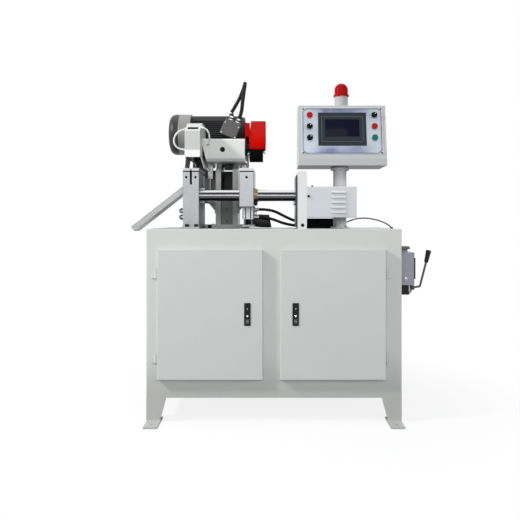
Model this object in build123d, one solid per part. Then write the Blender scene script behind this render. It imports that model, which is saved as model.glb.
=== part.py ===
"""Automatic circular saw on a two-door cabinet, modelled as the pieces that it is assembled from.

Frame: millimetres, +X to the operator's right, +Y to the rear, +Z up.
The origin is on the floor, midway between the four anchor holes of the feet.
The work runs along X at the work line; the saw head swings down on a pivot at the rear.
"""

import math
import os

from build123d import *

# Cabinet
CABINET_WIDTH = 1150.0
CABINET_DEPTH = 700.0
TABLE_HEIGHT = 870.0
SKIRT_HEIGHT = 110.0
CABINET_SHEET = 3.0
TABLE_PLATE = 10.0
PARTITION_X = -11.0
CABINET_EDGE = 3.0

# Legs and feet
LEG_TOP_WIDTH = 90.0
LEG_FOOT_WIDTH = 62.0
LEG_PLATE = 5.0
FOOT_PLATE = 8.0
FOOT_WIDTH = 63.0
FOOT_INSET = 3.0
FOOT_PROJECTION = 100.0
FOOT_LENGTH = 160.0
ANCHOR_HOLE_RADIUS = 7.0
ANCHOR_PROJECTION = 60.0

# Doors, hinges and latches
DOOR_WIDTH = 474.0
DOOR_HEIGHT = 580.0
DOOR_DEPTH = 21.0
DOOR_SHEET = 2.0
DOOR_GAP = 1.0
DOOR_BOTTOM = 196.0
DOOR_OVERLAP = 10.0
LEFT_DOOR_X = -524.0
RIGHT_DOOR_X = 28.0
HINGE_RADIUS = 6.0
HINGE_PIN_RADIUS = 3.0
HINGE_HALF = 24.0
HINGE_OFFSET = 7.0
HINGE_HEIGHTS = (96.0, 476.0)
LATCH_WIDTH = 29.0
LATCH_HEIGHT = 102.0
LATCH_EDGE = 69.0
LATCH_MIDDLE = 292.0
LATCH_FLANGE = 2.0

# Work line and clamps
WORK_Y = -80.0
CHANNEL_WIDTH = 64.0
CHANNEL_FLOOR = TABLE_HEIGHT + 156.0
ROD_RADIUS = 25.0
ROD_Z = TABLE_HEIGHT + 155.0
SCREW_RADIUS = 10.0
SCREW_Y = -212.0
ROD_SPREAD = 25.0
ROD_COVER = 8.0
FRONT_ROD_Y = SCREW_Y - ROD_RADIUS - ROD_SPREAD
REAR_ROD_Y = SCREW_Y + ROD_RADIUS + ROD_SPREAD
CLAMP_FRONT = FRONT_ROD_Y - ROD_RADIUS - ROD_COVER
CLAMP_REAR = -20.0
CLAMP_TOP = TABLE_HEIGHT + 266.0
CAP_THICKNESS = 12.0
JAW_TOP = TABLE_HEIGHT + 210.0
JAW_HEIGHT = 48.0
JAW_WIDTH = 60.0
JAW_ROD_RADIUS = 8.0

# Vise
VISE_X = -381.0
VISE_WIDTH = 74.0
BLADE_SLOT = 10.0
BLADE_SLOT_FLOOR = TABLE_HEIGHT + 203.0
CAP_SLOT = 5.0
VISE_PISTON_RADIUS = 20.0
VISE_BORE_FLOOR = TABLE_HEIGHT + 35.0
VISE_BORE_TOP = TABLE_HEIGHT + 120.0
VISE_FOOT_REACH = 24.0
VISE_FOOT_SIDE = 5.0
VISE_FOOT_HEIGHT = 9.0

# Feed carriage on its two rods
CARRIAGE_X = -126.0
CARRIAGE_WIDTH = 66.0
CARRIAGE_BOTTOM = TABLE_HEIGHT + 102.0
ROD_SEAT = 40.0
BUSH_RADIUS = ROD_RADIUS + 4.0
BUSH_PROJECTION = 18.0
NUT_RADIUS = SCREW_RADIUS + 7.0
GRIPPER_SIZE = 56.0
GRIPPER_BOTTOM = TABLE_HEIGHT + 44.0
GRIPPER_GROOVE = 5.0
FITTING_RADIUS = 9.0
FITTING_LENGTH = 24.0
FITTING_INSET = 10.0
TIE_PLATE_BOTTOM = TABLE_HEIGHT + 6.0
TIE_PLATE_THICKNESS = 11.0
GUIDE_LEG_RADIUS = 4.0
GUIDE_LEG_SPACING = 34.0

# End plate, feed drive and its cover
END_PLATE_X = 107.0
END_PLATE_THICKNESS = 42.0
END_PLATE_FRONT = -330.0
END_PLATE_REAR = -125.0
END_PLATE_TOP = TABLE_HEIGHT + 262.0
SERVO_SIZE = 60.0
SERVO_LENGTH = 140.0
COVER_LENGTH = 226.0
COVER_BOTTOM = TABLE_HEIGHT + 51.0
COVER_TOP = TABLE_HEIGHT + 192.0
COVER_REAR = -190.0
COVER_SHEET = 1.5
LOUVRE_LENGTH = 66.0
LOUVRE_PITCH = 22.7
LOUVRE_COUNT = 5

# Column and head pivot
PIVOT_Y = 190.0
PIVOT_Z = TABLE_HEIGHT + 335.0
PIVOT_RADIUS = 14.0
PIVOT_BOSS = 32.0
COLUMN_INSIDE_LEFT = -266.0
COLUMN_INSIDE_RIGHT = -207.0
COLUMN_WALL = 26.0
COLUMN_FRONT = -16.0
COLUMN_REAR = 226.0
COLUMN_SHOULDER = TABLE_HEIGHT + 295.0
COLUMN_BASE = 18.0
HEAD_SWING = 13.0

# Saw head
SPINDLE_Y = -85.0
SPINDLE_Z = TABLE_HEIGHT + 360.0
CASE_LEFT = -346.0
CASE_RIGHT = -141.0
CASE_FRONT = -140.0
CASE_REAR = -5.0
CASE_TOP = TABLE_HEIGHT + 432.0
CASE_WALL = 5.5
CASE_SLANT_WIDTH = 20.0
CASE_SLANT_HEIGHT = 78.0
GEAR_MODULE = 1.75
GEAR_TEETH = 32
PINION_TEETH = 16
GEAR_CLEARANCE = 1.75
CASE_BOTTOM = SPINDLE_Z - GEAR_MODULE * (GEAR_TEETH / 2 + 1) - GEAR_CLEARANCE - CASE_WALL
PLUG_RADIUS = 12.0
PLUG_DROP = 52.0
GEAR_LINE_ANGLE = 50.0
GEAR_X = -262.0
GEAR_WIDTH = 28.0
BLADE_RADIUS = 142.5
BLADE_THICKNESS = 2.0
BLADE_TEETH = 60
SPINDLE_RADIUS = 16.0
GUARD_RADIUS = BLADE_RADIUS + 5.5
GUARD_BOTTOM = TABLE_HEIGHT + 335.0
GUARD_SHEET = 2.0
GUARD_WIDTH = 72.0

# Motor and belt drive
MOTOR_Y = 145.0
MOTOR_Z = TABLE_HEIGHT + 486.0
MOTOR_FINS = 97.0
MOTOR_CORE = MOTOR_FINS - 15.0
MOTOR_FIN_PITCH = 11.0
COWL_RADIUS = MOTOR_FINS + 8.0
COWL_LEFT = -541.0
COWL_RIGHT = -428.0
MOTOR_RIGHT = -160.0
MOTOR_PLATE_BOTTOM = TABLE_HEIGHT + 371.0
MOTOR_PLATE_THICKNESS = 10.0
MOTOR_PULLEY_RADIUS = 35.0
DRIVEN_PULLEY_RADIUS = 58.0
BELT_WIDTH = 50.0
BELT_THICKNESS = 6.0
BELT_X = -86.0
BELT_GUARD_RIGHT = -43.0
BELT_GUARD_LEFT = -120.0
BELT_GUARD_RADIUS = 72.0
BELT_GUARD_CUT = TABLE_HEIGHT + 384.0

# Feed and damping cylinders of the head
FEED_LINES = (-321.0, -151.0)
FEED_Y = 26.0
FEED_BARREL_HALF = 20.0
FEED_BARREL_TOP = TABLE_HEIGHT + 188.0
FEED_BARREL_HEIGHT = 55.0
FEED_BORE = 14.0
FEED_PISTON = 6.0
FEED_SHELF = 10.0
FEED_BLOCK = 28.0
FEED_BLOCK_BOTTOM = TABLE_HEIGHT + 247.0
FEED_EAR = 9.0
FEED_ROD_RADIUS = 8.0
FEED_PIN_RADIUS = 6.0
FEED_PIN_FLOAT = 1.5

# Control panel on its post
POST_X = 315.5
POST_Y = -150.0
POST_RADIUS = 32.0
PANEL_WIDTH = 406.0
PANEL_FRONT = -295.0
PANEL_REAR = -65.0
PANEL_BOTTOM = TABLE_HEIGHT + 290.0
PANEL_LIP = 31.0
PANEL_TOP = TABLE_HEIGHT + 574.0
PANEL_SET_BACK = 55.0
PANEL_SHEET = 2.0
FACE_WIDTH = 376.0
FACE_HEIGHT = 226.0
FACE_THICKNESS = 2.0
FACE_MIDDLE_Z = TABLE_HEIGHT + 452.0
HMI_WIDTH = 222.0
HMI_HEIGHT = 158.0
HMI_PROUD = 7.0
BUTTON_COLUMN = 150.0
BUTTON_ROWS = (76.0, 21.0, -34.0)
BUTTON_HOLE = 11.0
BUTTON_HEAD = 13.8
BUTTON_TRAVEL = 4.0
SELECTOR_TURN = -45.0
BEACON_RADIUS = 32.0
BEACON_X = POST_X + 7.0
BEACON_BASE = 57.0
BEACON_DOME = 64.0

# Lubricator on the right side
LUBE_THICKNESS = 76.0
LUBE_FRONT = -270.0
LUBE_REAR = -150.0
LUBE_BOTTOM = 609.0
LUBE_TOP = 760.0
LEVER_Z = 592.0
LEVER_RADIUS = 5.0

# Discharge chute
CHUTE_WIDTH = 130.0
CHUTE_EDGE_RISE = 61.68
CHUTE_LENGTH = 318.0
CHUTE_WALL = 28.0
CHUTE_SHEET = 2.0
CHUTE_TOP_Z = TABLE_HEIGHT + 182.0

# Fits and seats
RUNNING = 0.05
SIDE_PLAY = 0.5
SEAT_GAP = 0.3

HALF_WIDTH = CABINET_WIDTH / 2
HALF_DEPTH = CABINET_DEPTH / 2
FRONT = -HALF_DEPTH


def block(x0, x1, y0, y1, z0, z1):
    """A box between two corners."""
    middle = ((x0 + x1) / 2, (y0 + y1) / 2, (z0 + z1) / 2)
    return Pos(*middle) * Box(x1 - x0, y1 - y0, z1 - z0)


def rod_x(radius, x0, x1, y, z):
    """A round bar along X."""
    return Pos((x0 + x1) / 2, y, z) * Rot(0, 90, 0) * Cylinder(radius, x1 - x0)


def rod_y(radius, y0, y1, x, z):
    """A round bar along Y."""
    return Pos(x, (y0 + y1) / 2, z) * Rot(90, 0, 0) * Cylinder(radius, y1 - y0)


def rod_z(radius, z0, z1, x, y):
    """A round bar along Z."""
    return Pos(x, y, (z0 + z1) / 2) * Cylinder(radius, z1 - z0)


def plate_yz(points, x0, x1):
    """A flat outline in the YZ plane, extruded from x0 to x1."""
    return extrude(Plane.YZ * make_face(Polyline(*points, close=True)), x1 - x0).moved(Location((x0, 0, 0)))


def plate_xz(points, y0, y1):
    """A flat outline in the XZ plane, extruded from y0 to y1."""
    face = Plane.XZ * make_face(Polyline(*points, close=True))
    return extrude(face, y1 - y0, dir=(0, 1, 0)).moved(Location((0, y0, 0)))


def node(name, *solids):
    """Writes the solids of one named piece."""
    export_step(solids[0] if len(solids) == 1 else Compound(children=list(solids)), f"parts/{name}.step")


def door_opening(door_x):
    """The hole in the cabinet front behind a door."""
    left = door_x + DOOR_OVERLAP
    right = door_x + DOOR_WIDTH - DOOR_OVERLAP
    low = DOOR_BOTTOM + DOOR_OVERLAP
    high = DOOR_BOTTOM + DOOR_HEIGHT - DOOR_OVERLAP
    return block(left, right, FRONT - 1, FRONT + CABINET_SHEET + 1, low, high)


def hinge_posts(axis_x, side):
    """The fixed hinge halves of one door: strap, lower knuckle and pin."""
    axis_y = FRONT - DOOR_GAP - HINGE_RADIUS
    posts = []
    for height in HINGE_HEIGHTS:
        low = DOOR_BOTTOM + height - HINGE_HALF
        top = low + HINGE_HALF - SIDE_PLAY
        strap_end = axis_x + side * 20.0
        post = rod_z(HINGE_RADIUS, low, top, axis_x, axis_y)
        post += block(min(axis_x, strap_end), max(axis_x, strap_end), FRONT - 4.0, FRONT, low, top)
        post += rod_z(HINGE_PIN_RADIUS, low, low + 2 * HINGE_HALF - 2.0, axis_x, axis_y)
        posts.append(post)
    return posts


def cabinet_shell():
    """Welded sheet cabinet: walls, floor, partition, table plate and the fixed hinge halves."""
    shell = block(-HALF_WIDTH, HALF_WIDTH, FRONT, HALF_DEPTH, SKIRT_HEIGHT, TABLE_HEIGHT)
    shell = fillet(shell.edges().filter_by(Axis.Z) + shell.edges().group_by(Axis.Z)[-1], CABINET_EDGE)
    inside_x = HALF_WIDTH - CABINET_SHEET
    inside_y = HALF_DEPTH - CABINET_SHEET
    floor_z = SKIRT_HEIGHT + CABINET_SHEET
    roof_z = TABLE_HEIGHT - TABLE_PLATE
    partition_right = PARTITION_X + CABINET_SHEET
    shell -= block(-inside_x, PARTITION_X, -inside_y, inside_y, floor_z, roof_z)
    shell -= block(partition_right, inside_x, -inside_y, inside_y, floor_z, roof_z)
    shell -= door_opening(LEFT_DOOR_X)
    shell -= door_opening(RIGHT_DOOR_X)
    for post in hinge_posts(LEFT_DOOR_X - HINGE_OFFSET, -1):
        shell += post
    for post in hinge_posts(RIGHT_DOOR_X + DOOR_WIDTH + HINGE_OFFSET, 1):
        shell += post
    return shell


def leg():
    """Front right leg: two tapered plates on a foot plate that reaches out in front."""
    outer = HALF_WIDTH
    front_plate = plate_xz(
        [
            (outer - LEG_TOP_WIDTH, SKIRT_HEIGHT),
            (outer, SKIRT_HEIGHT),
            (outer, FOOT_PLATE),
            (outer - LEG_FOOT_WIDTH, FOOT_PLATE),
        ],
        FRONT,
        FRONT + LEG_PLATE,
    )
    side_plate = plate_yz(
        [
            (FRONT, SKIRT_HEIGHT),
            (FRONT + LEG_TOP_WIDTH, SKIRT_HEIGHT),
            (FRONT + LEG_FOOT_WIDTH, FOOT_PLATE),
            (FRONT, FOOT_PLATE),
        ],
        outer - LEG_PLATE,
        outer,
    )
    foot_right = outer - FOOT_INSET
    foot_front = FRONT - FOOT_PROJECTION
    foot = block(foot_right - FOOT_WIDTH, foot_right, foot_front, foot_front + FOOT_LENGTH, 0, FOOT_PLATE)
    foot = fillet(foot.edges().filter_by(Axis.Z), 6.0)
    hole_x = foot_right - FOOT_WIDTH / 2
    foot -= rod_z(ANCHOR_HOLE_RADIUS, -1, FOOT_PLATE + 1, hole_x, FRONT - ANCHOR_PROJECTION)
    return front_plate + side_plate + foot


def legs():
    """The four legs, mirrored about the middle planes."""
    front_right = leg()
    front_left = mirror(front_right, about=Plane.YZ)
    rear_right = mirror(front_right, about=Plane.XZ)
    rear_left = mirror(front_left, about=Plane.XZ)
    return [front_right, front_left, rear_right, rear_left]


def door(door_x, hinge_side):
    """A folded door pan with its moving hinge knuckles and the cut-out for its latch."""
    rear = FRONT - DOOR_GAP
    face = rear - DOOR_DEPTH
    right = door_x + DOOR_WIDTH
    top = DOOR_BOTTOM + DOOR_HEIGHT
    pan = block(door_x, right, face, rear, DOOR_BOTTOM, top)
    pan = fillet(pan.edges().filter_by(Axis.Z).group_by(Axis.Y)[0], 4.0)
    pan -= block(
        door_x + DOOR_SHEET,
        right - DOOR_SHEET,
        face + DOOR_SHEET,
        rear + 1,
        DOOR_BOTTOM + DOOR_SHEET,
        top - DOOR_SHEET,
    )
    axis_x = right + HINGE_OFFSET if hinge_side > 0 else door_x - HINGE_OFFSET
    axis_y = rear - HINGE_RADIUS
    edge_x = right - 1.0 if hinge_side > 0 else door_x + 1.0
    for height in HINGE_HEIGHTS:
        low = DOOR_BOTTOM + height + SIDE_PLAY
        high = low + HINGE_HALF - SIDE_PLAY
        knuckle = rod_z(HINGE_RADIUS, low, high, axis_x, axis_y)
        knuckle += block(min(axis_x, edge_x), max(axis_x, edge_x), axis_y - 3.0, axis_y + 3.0, low, high)
        knuckle -= rod_z(HINGE_PIN_RADIUS + RUNNING, low - 1, high + 1, axis_x, axis_y)
        pan += knuckle
    latch_x = latch_middle(door_x, hinge_side)
    half_w = LATCH_WIDTH / 2 - 3.0
    half_h = LATCH_HEIGHT / 2 - 5.0
    latch_z = DOOR_BOTTOM + LATCH_MIDDLE
    pan -= block(latch_x - half_w, latch_x + half_w, face - 1, face + 5, latch_z - half_h, latch_z + half_h)
    return pan


def latch_middle(door_x, hinge_side):
    """The middle of a latch along X, near the free edge of its door."""
    if hinge_side > 0:
        return door_x + LATCH_EDGE
    return door_x + DOOR_WIDTH - LATCH_EDGE


def latch(door_x, hinge_side):
    """Flush latch housing with the pocket of its lever, the ribbed thumb pad and the tongue behind."""
    middle = latch_middle(door_x, hinge_side)
    face = FRONT - DOOR_GAP - DOOR_DEPTH
    mid_z = DOOR_BOTTOM + LATCH_MIDDLE
    half_w = LATCH_WIDTH / 2
    half_h = LATCH_HEIGHT / 2
    low = mid_z - half_h
    flange = block(middle - half_w, middle + half_w, face - LATCH_FLANGE, face, low, low + LATCH_HEIGHT)
    flange = fillet(flange.edges().filter_by(Axis.Y), 3.0)
    body_w = half_w - 3.5
    body_h = half_h - 5.5
    body = block(middle - body_w, middle + body_w, face - 1, face + 15, mid_z - body_h, mid_z + body_h)
    housing = flange + body
    housing -= block(middle - 8.5, middle + 8.5, face - 5, face + 8, mid_z - 18.0, mid_z + 44.0)
    for step in range(3):
        rib_z = mid_z - 38.0 + step * 6.0
        housing += block(middle - 8.0, middle + 8.0, face - LATCH_FLANGE - 1.5, face - 1, rib_z, rib_z + 2.5)
    for side in (-1, 1):
        wall = middle + side * 8.5
        housing += rod_x(1.5, wall - 3.0, wall + 3.0, face + 3.0, mid_z + 40.0)
    tongue_end = middle - hinge_side * 30.0
    left, right = sorted((middle, tongue_end))
    tongue = block(left, right, face + 12, face + 15, mid_z - 12, mid_z + 12)
    return housing + tongue


def latch_handle(door_x, hinge_side):
    """The lever of a latch, hinged on two stub pins at its upper end."""
    middle = latch_middle(door_x, hinge_side)
    face = FRONT - DOOR_GAP - DOOR_DEPTH
    mid_z = DOOR_BOTTOM + LATCH_MIDDLE
    low = mid_z - 17.0
    pivot = mid_z + 40.0
    lever = block(middle - 8.0, middle + 8.0, face - 3.0, face + 6.0, low, pivot - 7.0)
    lever = chamfer(lever.edges().filter_by(Axis.X).group_by(Axis.Z)[0], 2.0)
    lever += block(middle - 8.0, middle + 8.0, face + 1.0, face + 5.0, pivot - 8.0, pivot)
    lever += rod_x(3.0, middle - 8.0, middle + 8.0, face + 3.0, pivot)
    lever -= rod_x(1.5 + RUNNING, middle - 9.0, middle + 9.0, face + 3.0, pivot)
    return lever


def electrical_plate():
    """Mounting plate in the right compartment with its rails, drives and wiring ducts."""
    rear = HALF_DEPTH - CABINET_SHEET
    front = rear - 4
    low = SKIRT_HEIGHT + 110.0
    high = TABLE_HEIGHT - 130.0
    rise = (high - low) / 520.0
    plate = block(60, 480, front, rear, low, high)
    devices = []
    for x0, x1, z0, z1, depth in (
        (80, 150, 340, 490, 120),
        (160, 230, 340, 490, 120),
        (250, 450, 370, 470, 75),
        (80, 190, 160, 250, 70),
        (200, 290, 160, 250, 80),
        (300, 450, 150, 260, 60),
        (90, 440, 30, 80, 45),
        (70, 470, 280, 320, 50),
        (70, 470, 100, 140, 50),
    ):
        devices.append(block(x0, x1, front - depth, front, low + z0 * rise, low + z1 * rise))
    return [plate] + devices


def coolant_unit():
    """Coolant tank on the floor of the left compartment with its lid, pump and filter screen."""
    floor_z = SKIRT_HEIGHT + CABINET_SHEET
    tank = block(-500, -80, -230, 240, floor_z, floor_z + 190)
    tank = fillet(tank.edges().filter_by(Axis.Z), 12.0)
    tank -= block(-496, -84, -226, 236, floor_z + 4, floor_z + 191)
    lid_z = floor_z + 190
    lid = block(-500, -80, -230, 240, lid_z, lid_z + 3)
    lid -= block(-460, -330, -180, 190, lid_z - 1, lid_z + 4)
    lid -= rod_z(40.5, lid_z - 1, lid_z + 4, -180, 60)
    screen = block(-455, -335, -175, 185, lid_z + 0.5, lid_z + 2.5)
    for row in range(6):
        for column in range(3):
            screen -= rod_z(9, lid_z - 1, lid_z + 4, -430 + column * 35, -140 + row * 58)
    for rest, inner in ((-186, -175), (182, 182)):
        screen += block(-466, -324, rest, rest + 14, lid_z + 3, lid_z + 6)
        screen += block(-455, -335, inner, inner + 3, lid_z + 0.5, lid_z + 4)
    pump = rod_z(40, lid_z - 150, lid_z + 8, -180, 60) + rod_z(55, lid_z + 3, lid_z + 15, -180, 60)
    pump += rod_z(48, lid_z + 15, lid_z + 130, -180, 60)
    pump += rod_y(10, -20, 60, -180, lid_z + 30)
    return [tank, lid, screen, pump]


def vise_body():
    """Fixed vise block: open channel for the work, blade slot, rod seats and the clamp cylinder inside."""
    left = VISE_X - VISE_WIDTH / 2
    right = VISE_X + VISE_WIDTH / 2
    body = block(left, right, CLAMP_FRONT, CLAMP_REAR, TABLE_HEIGHT, CLAMP_TOP)
    body = chamfer(body.edges().filter_by(Axis.Z), 2.0)
    pad = ROD_RADIUS + 10.0
    body += block(right - 1, right + 19.0, SCREW_Y - 14.0, REAR_ROD_Y + 40, ROD_Z - pad, ROD_Z + pad)
    half = CHANNEL_WIDTH / 2
    body -= block(left - 1, right + 1, WORK_Y - half, WORK_Y + half, CHANNEL_FLOOR, CLAMP_TOP + 1)
    body -= block(
        VISE_X - BLADE_SLOT / 2,
        VISE_X + BLADE_SLOT / 2,
        CLAMP_FRONT - 1,
        CLAMP_REAR + 1,
        BLADE_SLOT_FLOOR,
        CLAMP_TOP + 1,
    )
    body -= rod_z(JAW_ROD_RADIUS + RUNNING, VISE_BORE_TOP - 1, CHANNEL_FLOOR + 1, VISE_X, WORK_Y)
    body -= rod_z(VISE_PISTON_RADIUS + RUNNING, VISE_BORE_FLOOR, VISE_BORE_TOP, VISE_X, WORK_Y)
    for rod_y_line in (FRONT_ROD_Y, REAR_ROD_Y):
        body -= rod_x(ROD_RADIUS, right - ROD_SEAT, right + 20, rod_y_line, ROD_Z)
    body -= rod_x(SCREW_RADIUS + RUNNING, right - 20, right + 20, SCREW_Y, ROD_Z)
    for hole_x in (VISE_X - 21.0, VISE_X + 21.0):
        body -= rod_y(6.0, CLAMP_FRONT - 1, CLAMP_FRONT + 18, hole_x, CLAMP_TOP - 30.0)
    foot = block(
        left - VISE_FOOT_SIDE,
        right + VISE_FOOT_SIDE,
        CLAMP_FRONT - VISE_FOOT_REACH,
        CLAMP_FRONT + 20,
        TABLE_HEIGHT,
        TABLE_HEIGHT + VISE_FOOT_HEIGHT,
    )
    return body + fillet(foot.edges().filter_by(Axis.Z), 3.0)


def vise_caps():
    """The two clamp plates on top of the vise, one on each side of the blade."""
    left = VISE_X - VISE_WIDTH / 2
    right = VISE_X + VISE_WIDTH / 2
    half = CAP_SLOT / 2
    top = CLAMP_TOP + CAP_THICKNESS
    caps = []
    for x0, x1 in ((left, VISE_X - half), (VISE_X + half, right)):
        cap = block(x0, x1, CLAMP_FRONT, CLAMP_REAR, CLAMP_TOP, top)
        cap = chamfer(cap.edges().group_by(Axis.Z)[-1], 1.2)
        for hole_y in (CLAMP_FRONT + 30, CLAMP_FRONT + 130, CLAMP_REAR - 14):
            middle = (x0 + x1) / 2
            cap -= rod_z(5.5, top - 7, top + 1, middle, hole_y)
        caps.append(cap)
    return caps


def jaw_block(middle_x, width):
    """A clamp jaw with a V across its top, standing on a piston rod."""
    half = JAW_WIDTH / 2
    low = JAW_TOP - JAW_HEIGHT
    outline = [
        (WORK_Y - half, low),
        (WORK_Y + half, low),
        (WORK_Y + half, JAW_TOP),
        (WORK_Y + half - 6, JAW_TOP),
        (WORK_Y, JAW_TOP - 14),
        (WORK_Y - half + 6, JAW_TOP),
        (WORK_Y - half, JAW_TOP),
    ]
    return plate_yz(outline, middle_x - width / 2, middle_x + width / 2)


def vise_jaw():
    """The rising jaw of the vise, slotted for the blade, with its rod and piston."""
    jaw = jaw_block(VISE_X, VISE_WIDTH - 6.0)
    slot_floor = BLADE_SLOT_FLOOR - 30.0
    half_slot = BLADE_SLOT / 2
    jaw -= block(VISE_X - half_slot, VISE_X + half_slot, WORK_Y - 50, WORK_Y + 50, slot_floor, JAW_TOP + 1)
    piston_low = VISE_BORE_FLOOR + 15.0
    jaw += rod_z(JAW_ROD_RADIUS, piston_low, JAW_TOP - JAW_HEIGHT + 1, VISE_X, WORK_Y)
    return jaw + rod_z(VISE_PISTON_RADIUS, piston_low, piston_low + 20.0, VISE_X, WORK_Y)


def guide_rods():
    """The two ground rods of the feed carriage."""
    left = VISE_X + VISE_WIDTH / 2 - ROD_SEAT
    right = END_PLATE_X + 30.0
    rods = []
    for rod_line in (FRONT_ROD_Y, REAR_ROD_Y):
        rod = rod_x(ROD_RADIUS, left, right, rod_line, ROD_Z)
        rods.append(chamfer(rod.edges().filter_by(GeomType.CIRCLE), 1.0))
    return rods


def carriage_body():
    """Feed carriage: bored for the rod bushes and the nut, with the work channel through it."""
    left = CARRIAGE_X - CARRIAGE_WIDTH / 2
    right = CARRIAGE_X + CARRIAGE_WIDTH / 2
    body = block(left, right, CLAMP_FRONT, CLAMP_REAR, CARRIAGE_BOTTOM, CLAMP_TOP)
    body = chamfer(body.edges().filter_by(Axis.Z), 2.0)
    half = CHANNEL_WIDTH / 2
    body -= block(left - 1, right + 1, WORK_Y - half, WORK_Y + half, CHANNEL_FLOOR, CLAMP_TOP + 1)
    for rod_line in (FRONT_ROD_Y, REAR_ROD_Y):
        body -= rod_x(BUSH_RADIUS, left - 1, right + 1, rod_line, ROD_Z)
    body -= rod_x(NUT_RADIUS, left - 1, right + 1, SCREW_Y, ROD_Z)
    body -= rod_z(JAW_ROD_RADIUS + RUNNING, CARRIAGE_BOTTOM - 1, CHANNEL_FLOOR + 1, CARRIAGE_X, WORK_Y)
    body -= rod_y(6.0, CLAMP_FRONT - 1, CLAMP_FRONT + 18, CARRIAGE_X, CLAMP_TOP - 30.0)
    return body


def carriage_cap():
    """The clamp plate that closes the channel of the carriage."""
    left = CARRIAGE_X - CARRIAGE_WIDTH / 2
    right = CARRIAGE_X + CARRIAGE_WIDTH / 2
    top = CLAMP_TOP + CAP_THICKNESS
    cap = block(left, right, CLAMP_FRONT, CLAMP_REAR, CLAMP_TOP, top)
    cap = chamfer(cap.edges().group_by(Axis.Z)[-1], 1.2)
    for hole_x in (left + 15, right - 15):
        for hole_y in (CLAMP_FRONT + 30, CLAMP_FRONT + 130, CLAMP_REAR - 14):
            cap -= rod_z(5.5, top - 7, top + 1, hole_x, hole_y)
    return cap


def rod_bushes():
    """Flanged rod bushes and the nut of the feed screw, pressed into the carriage."""
    left = CARRIAGE_X - CARRIAGE_WIDTH / 2
    right = CARRIAGE_X + CARRIAGE_WIDTH / 2
    pieces = []
    for rod_line in (FRONT_ROD_Y, REAR_ROD_Y):
        bush = rod_x(BUSH_RADIUS, left, right + BUSH_PROJECTION, rod_line, ROD_Z)
        bush += rod_x(BUSH_RADIUS + 4.0, right, right + 5.0, rod_line, ROD_Z)
        bush -= rod_x(ROD_RADIUS + RUNNING, left - 1, right + BUSH_PROJECTION + 1, rod_line, ROD_Z)
        pieces.append(bush)
    nut = rod_x(NUT_RADIUS, left, right + 12.0, SCREW_Y, ROD_Z)
    nut -= rod_x(SCREW_RADIUS + RUNNING, left - 1, right + 13.0, SCREW_Y, ROD_Z)
    pieces.append(nut)
    return pieces


def gripper_cylinder():
    """Compact cylinder under the carriage, with its side fittings."""
    half = GRIPPER_SIZE / 2
    body = block(
        CARRIAGE_X - half, CARRIAGE_X + half, WORK_Y - half, WORK_Y + half, GRIPPER_BOTTOM, CARRIAGE_BOTTOM
    )
    body = fillet(body.edges().filter_by(Axis.Z), 6.0)
    half_groove = GRIPPER_GROOVE / 2
    for groove_x in (CARRIAGE_X - half * 0.45, CARRIAGE_X + half * 0.45):
        for face_y in (WORK_Y - half, WORK_Y + half):
            body -= block(
                groove_x - half_groove,
                groove_x + half_groove,
                face_y - 3,
                face_y + 3,
                GRIPPER_BOTTOM - 1,
                CARRIAGE_BOTTOM + 1,
            )
    body -= rod_z(22.0 + RUNNING, GRIPPER_BOTTOM + 6, CARRIAGE_BOTTOM - 6, CARRIAGE_X, WORK_Y)
    body -= rod_z(JAW_ROD_RADIUS + RUNNING, CARRIAGE_BOTTOM - 7, CARRIAGE_BOTTOM + 1, CARRIAGE_X, WORK_Y)
    for leg_x in (-1, 1):
        x = CARRIAGE_X + leg_x * GUIDE_LEG_SPACING / 2
        body -= rod_z(GUIDE_LEG_RADIUS + RUNNING, GRIPPER_BOTTOM - 1, GRIPPER_BOTTOM + 7, x, WORK_Y)
    for fitting_z in (GRIPPER_BOTTOM + FITTING_INSET, CARRIAGE_BOTTOM - FITTING_INSET):
        seat = CARRIAGE_X + half
        body += rod_x(FITTING_RADIUS - 2, seat - 1, seat + FITTING_LENGTH, WORK_Y, fitting_z)
        body += rod_x(FITTING_RADIUS, seat + 4, seat + FITTING_LENGTH - 6, WORK_Y, fitting_z)
    return body


def gripper_jaw():
    """The rising jaw of the carriage with its rod, piston, guide legs and tie plate."""
    jaw = jaw_block(CARRIAGE_X, CARRIAGE_WIDTH - 4.0)
    piston_low = GRIPPER_BOTTOM + 7.0
    jaw += rod_z(JAW_ROD_RADIUS, piston_low, JAW_TOP - JAW_HEIGHT + 1, CARRIAGE_X, WORK_Y)
    jaw += rod_z(22.0, piston_low, piston_low + 8.0, CARRIAGE_X, WORK_Y)
    tie_top = TIE_PLATE_BOTTOM + TIE_PLATE_THICKNESS
    for leg_x in (-1, 1):
        x = CARRIAGE_X + leg_x * GUIDE_LEG_SPACING / 2
        jaw += rod_z(GUIDE_LEG_RADIUS, tie_top - 1, piston_low + 1, x, WORK_Y)
    tie = block(CARRIAGE_X - 34, CARRIAGE_X + 34, WORK_Y - 14, WORK_Y + 14, TIE_PLATE_BOTTOM, tie_top)
    return jaw + fillet(tie.edges().filter_by(Axis.Z), 5.0)


def ball_screw():
    """The feed screw from its bearing in the vise to the coupling on the drive."""
    left = VISE_X + VISE_WIDTH / 2 - 18.0
    right = END_PLATE_X + END_PLATE_THICKNESS - 20.0
    screw = rod_x(SCREW_RADIUS, left, right, SCREW_Y, ROD_Z)
    return screw + rod_x(18.0, right - 1, right + 19.0, SCREW_Y, ROD_Z)


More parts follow.
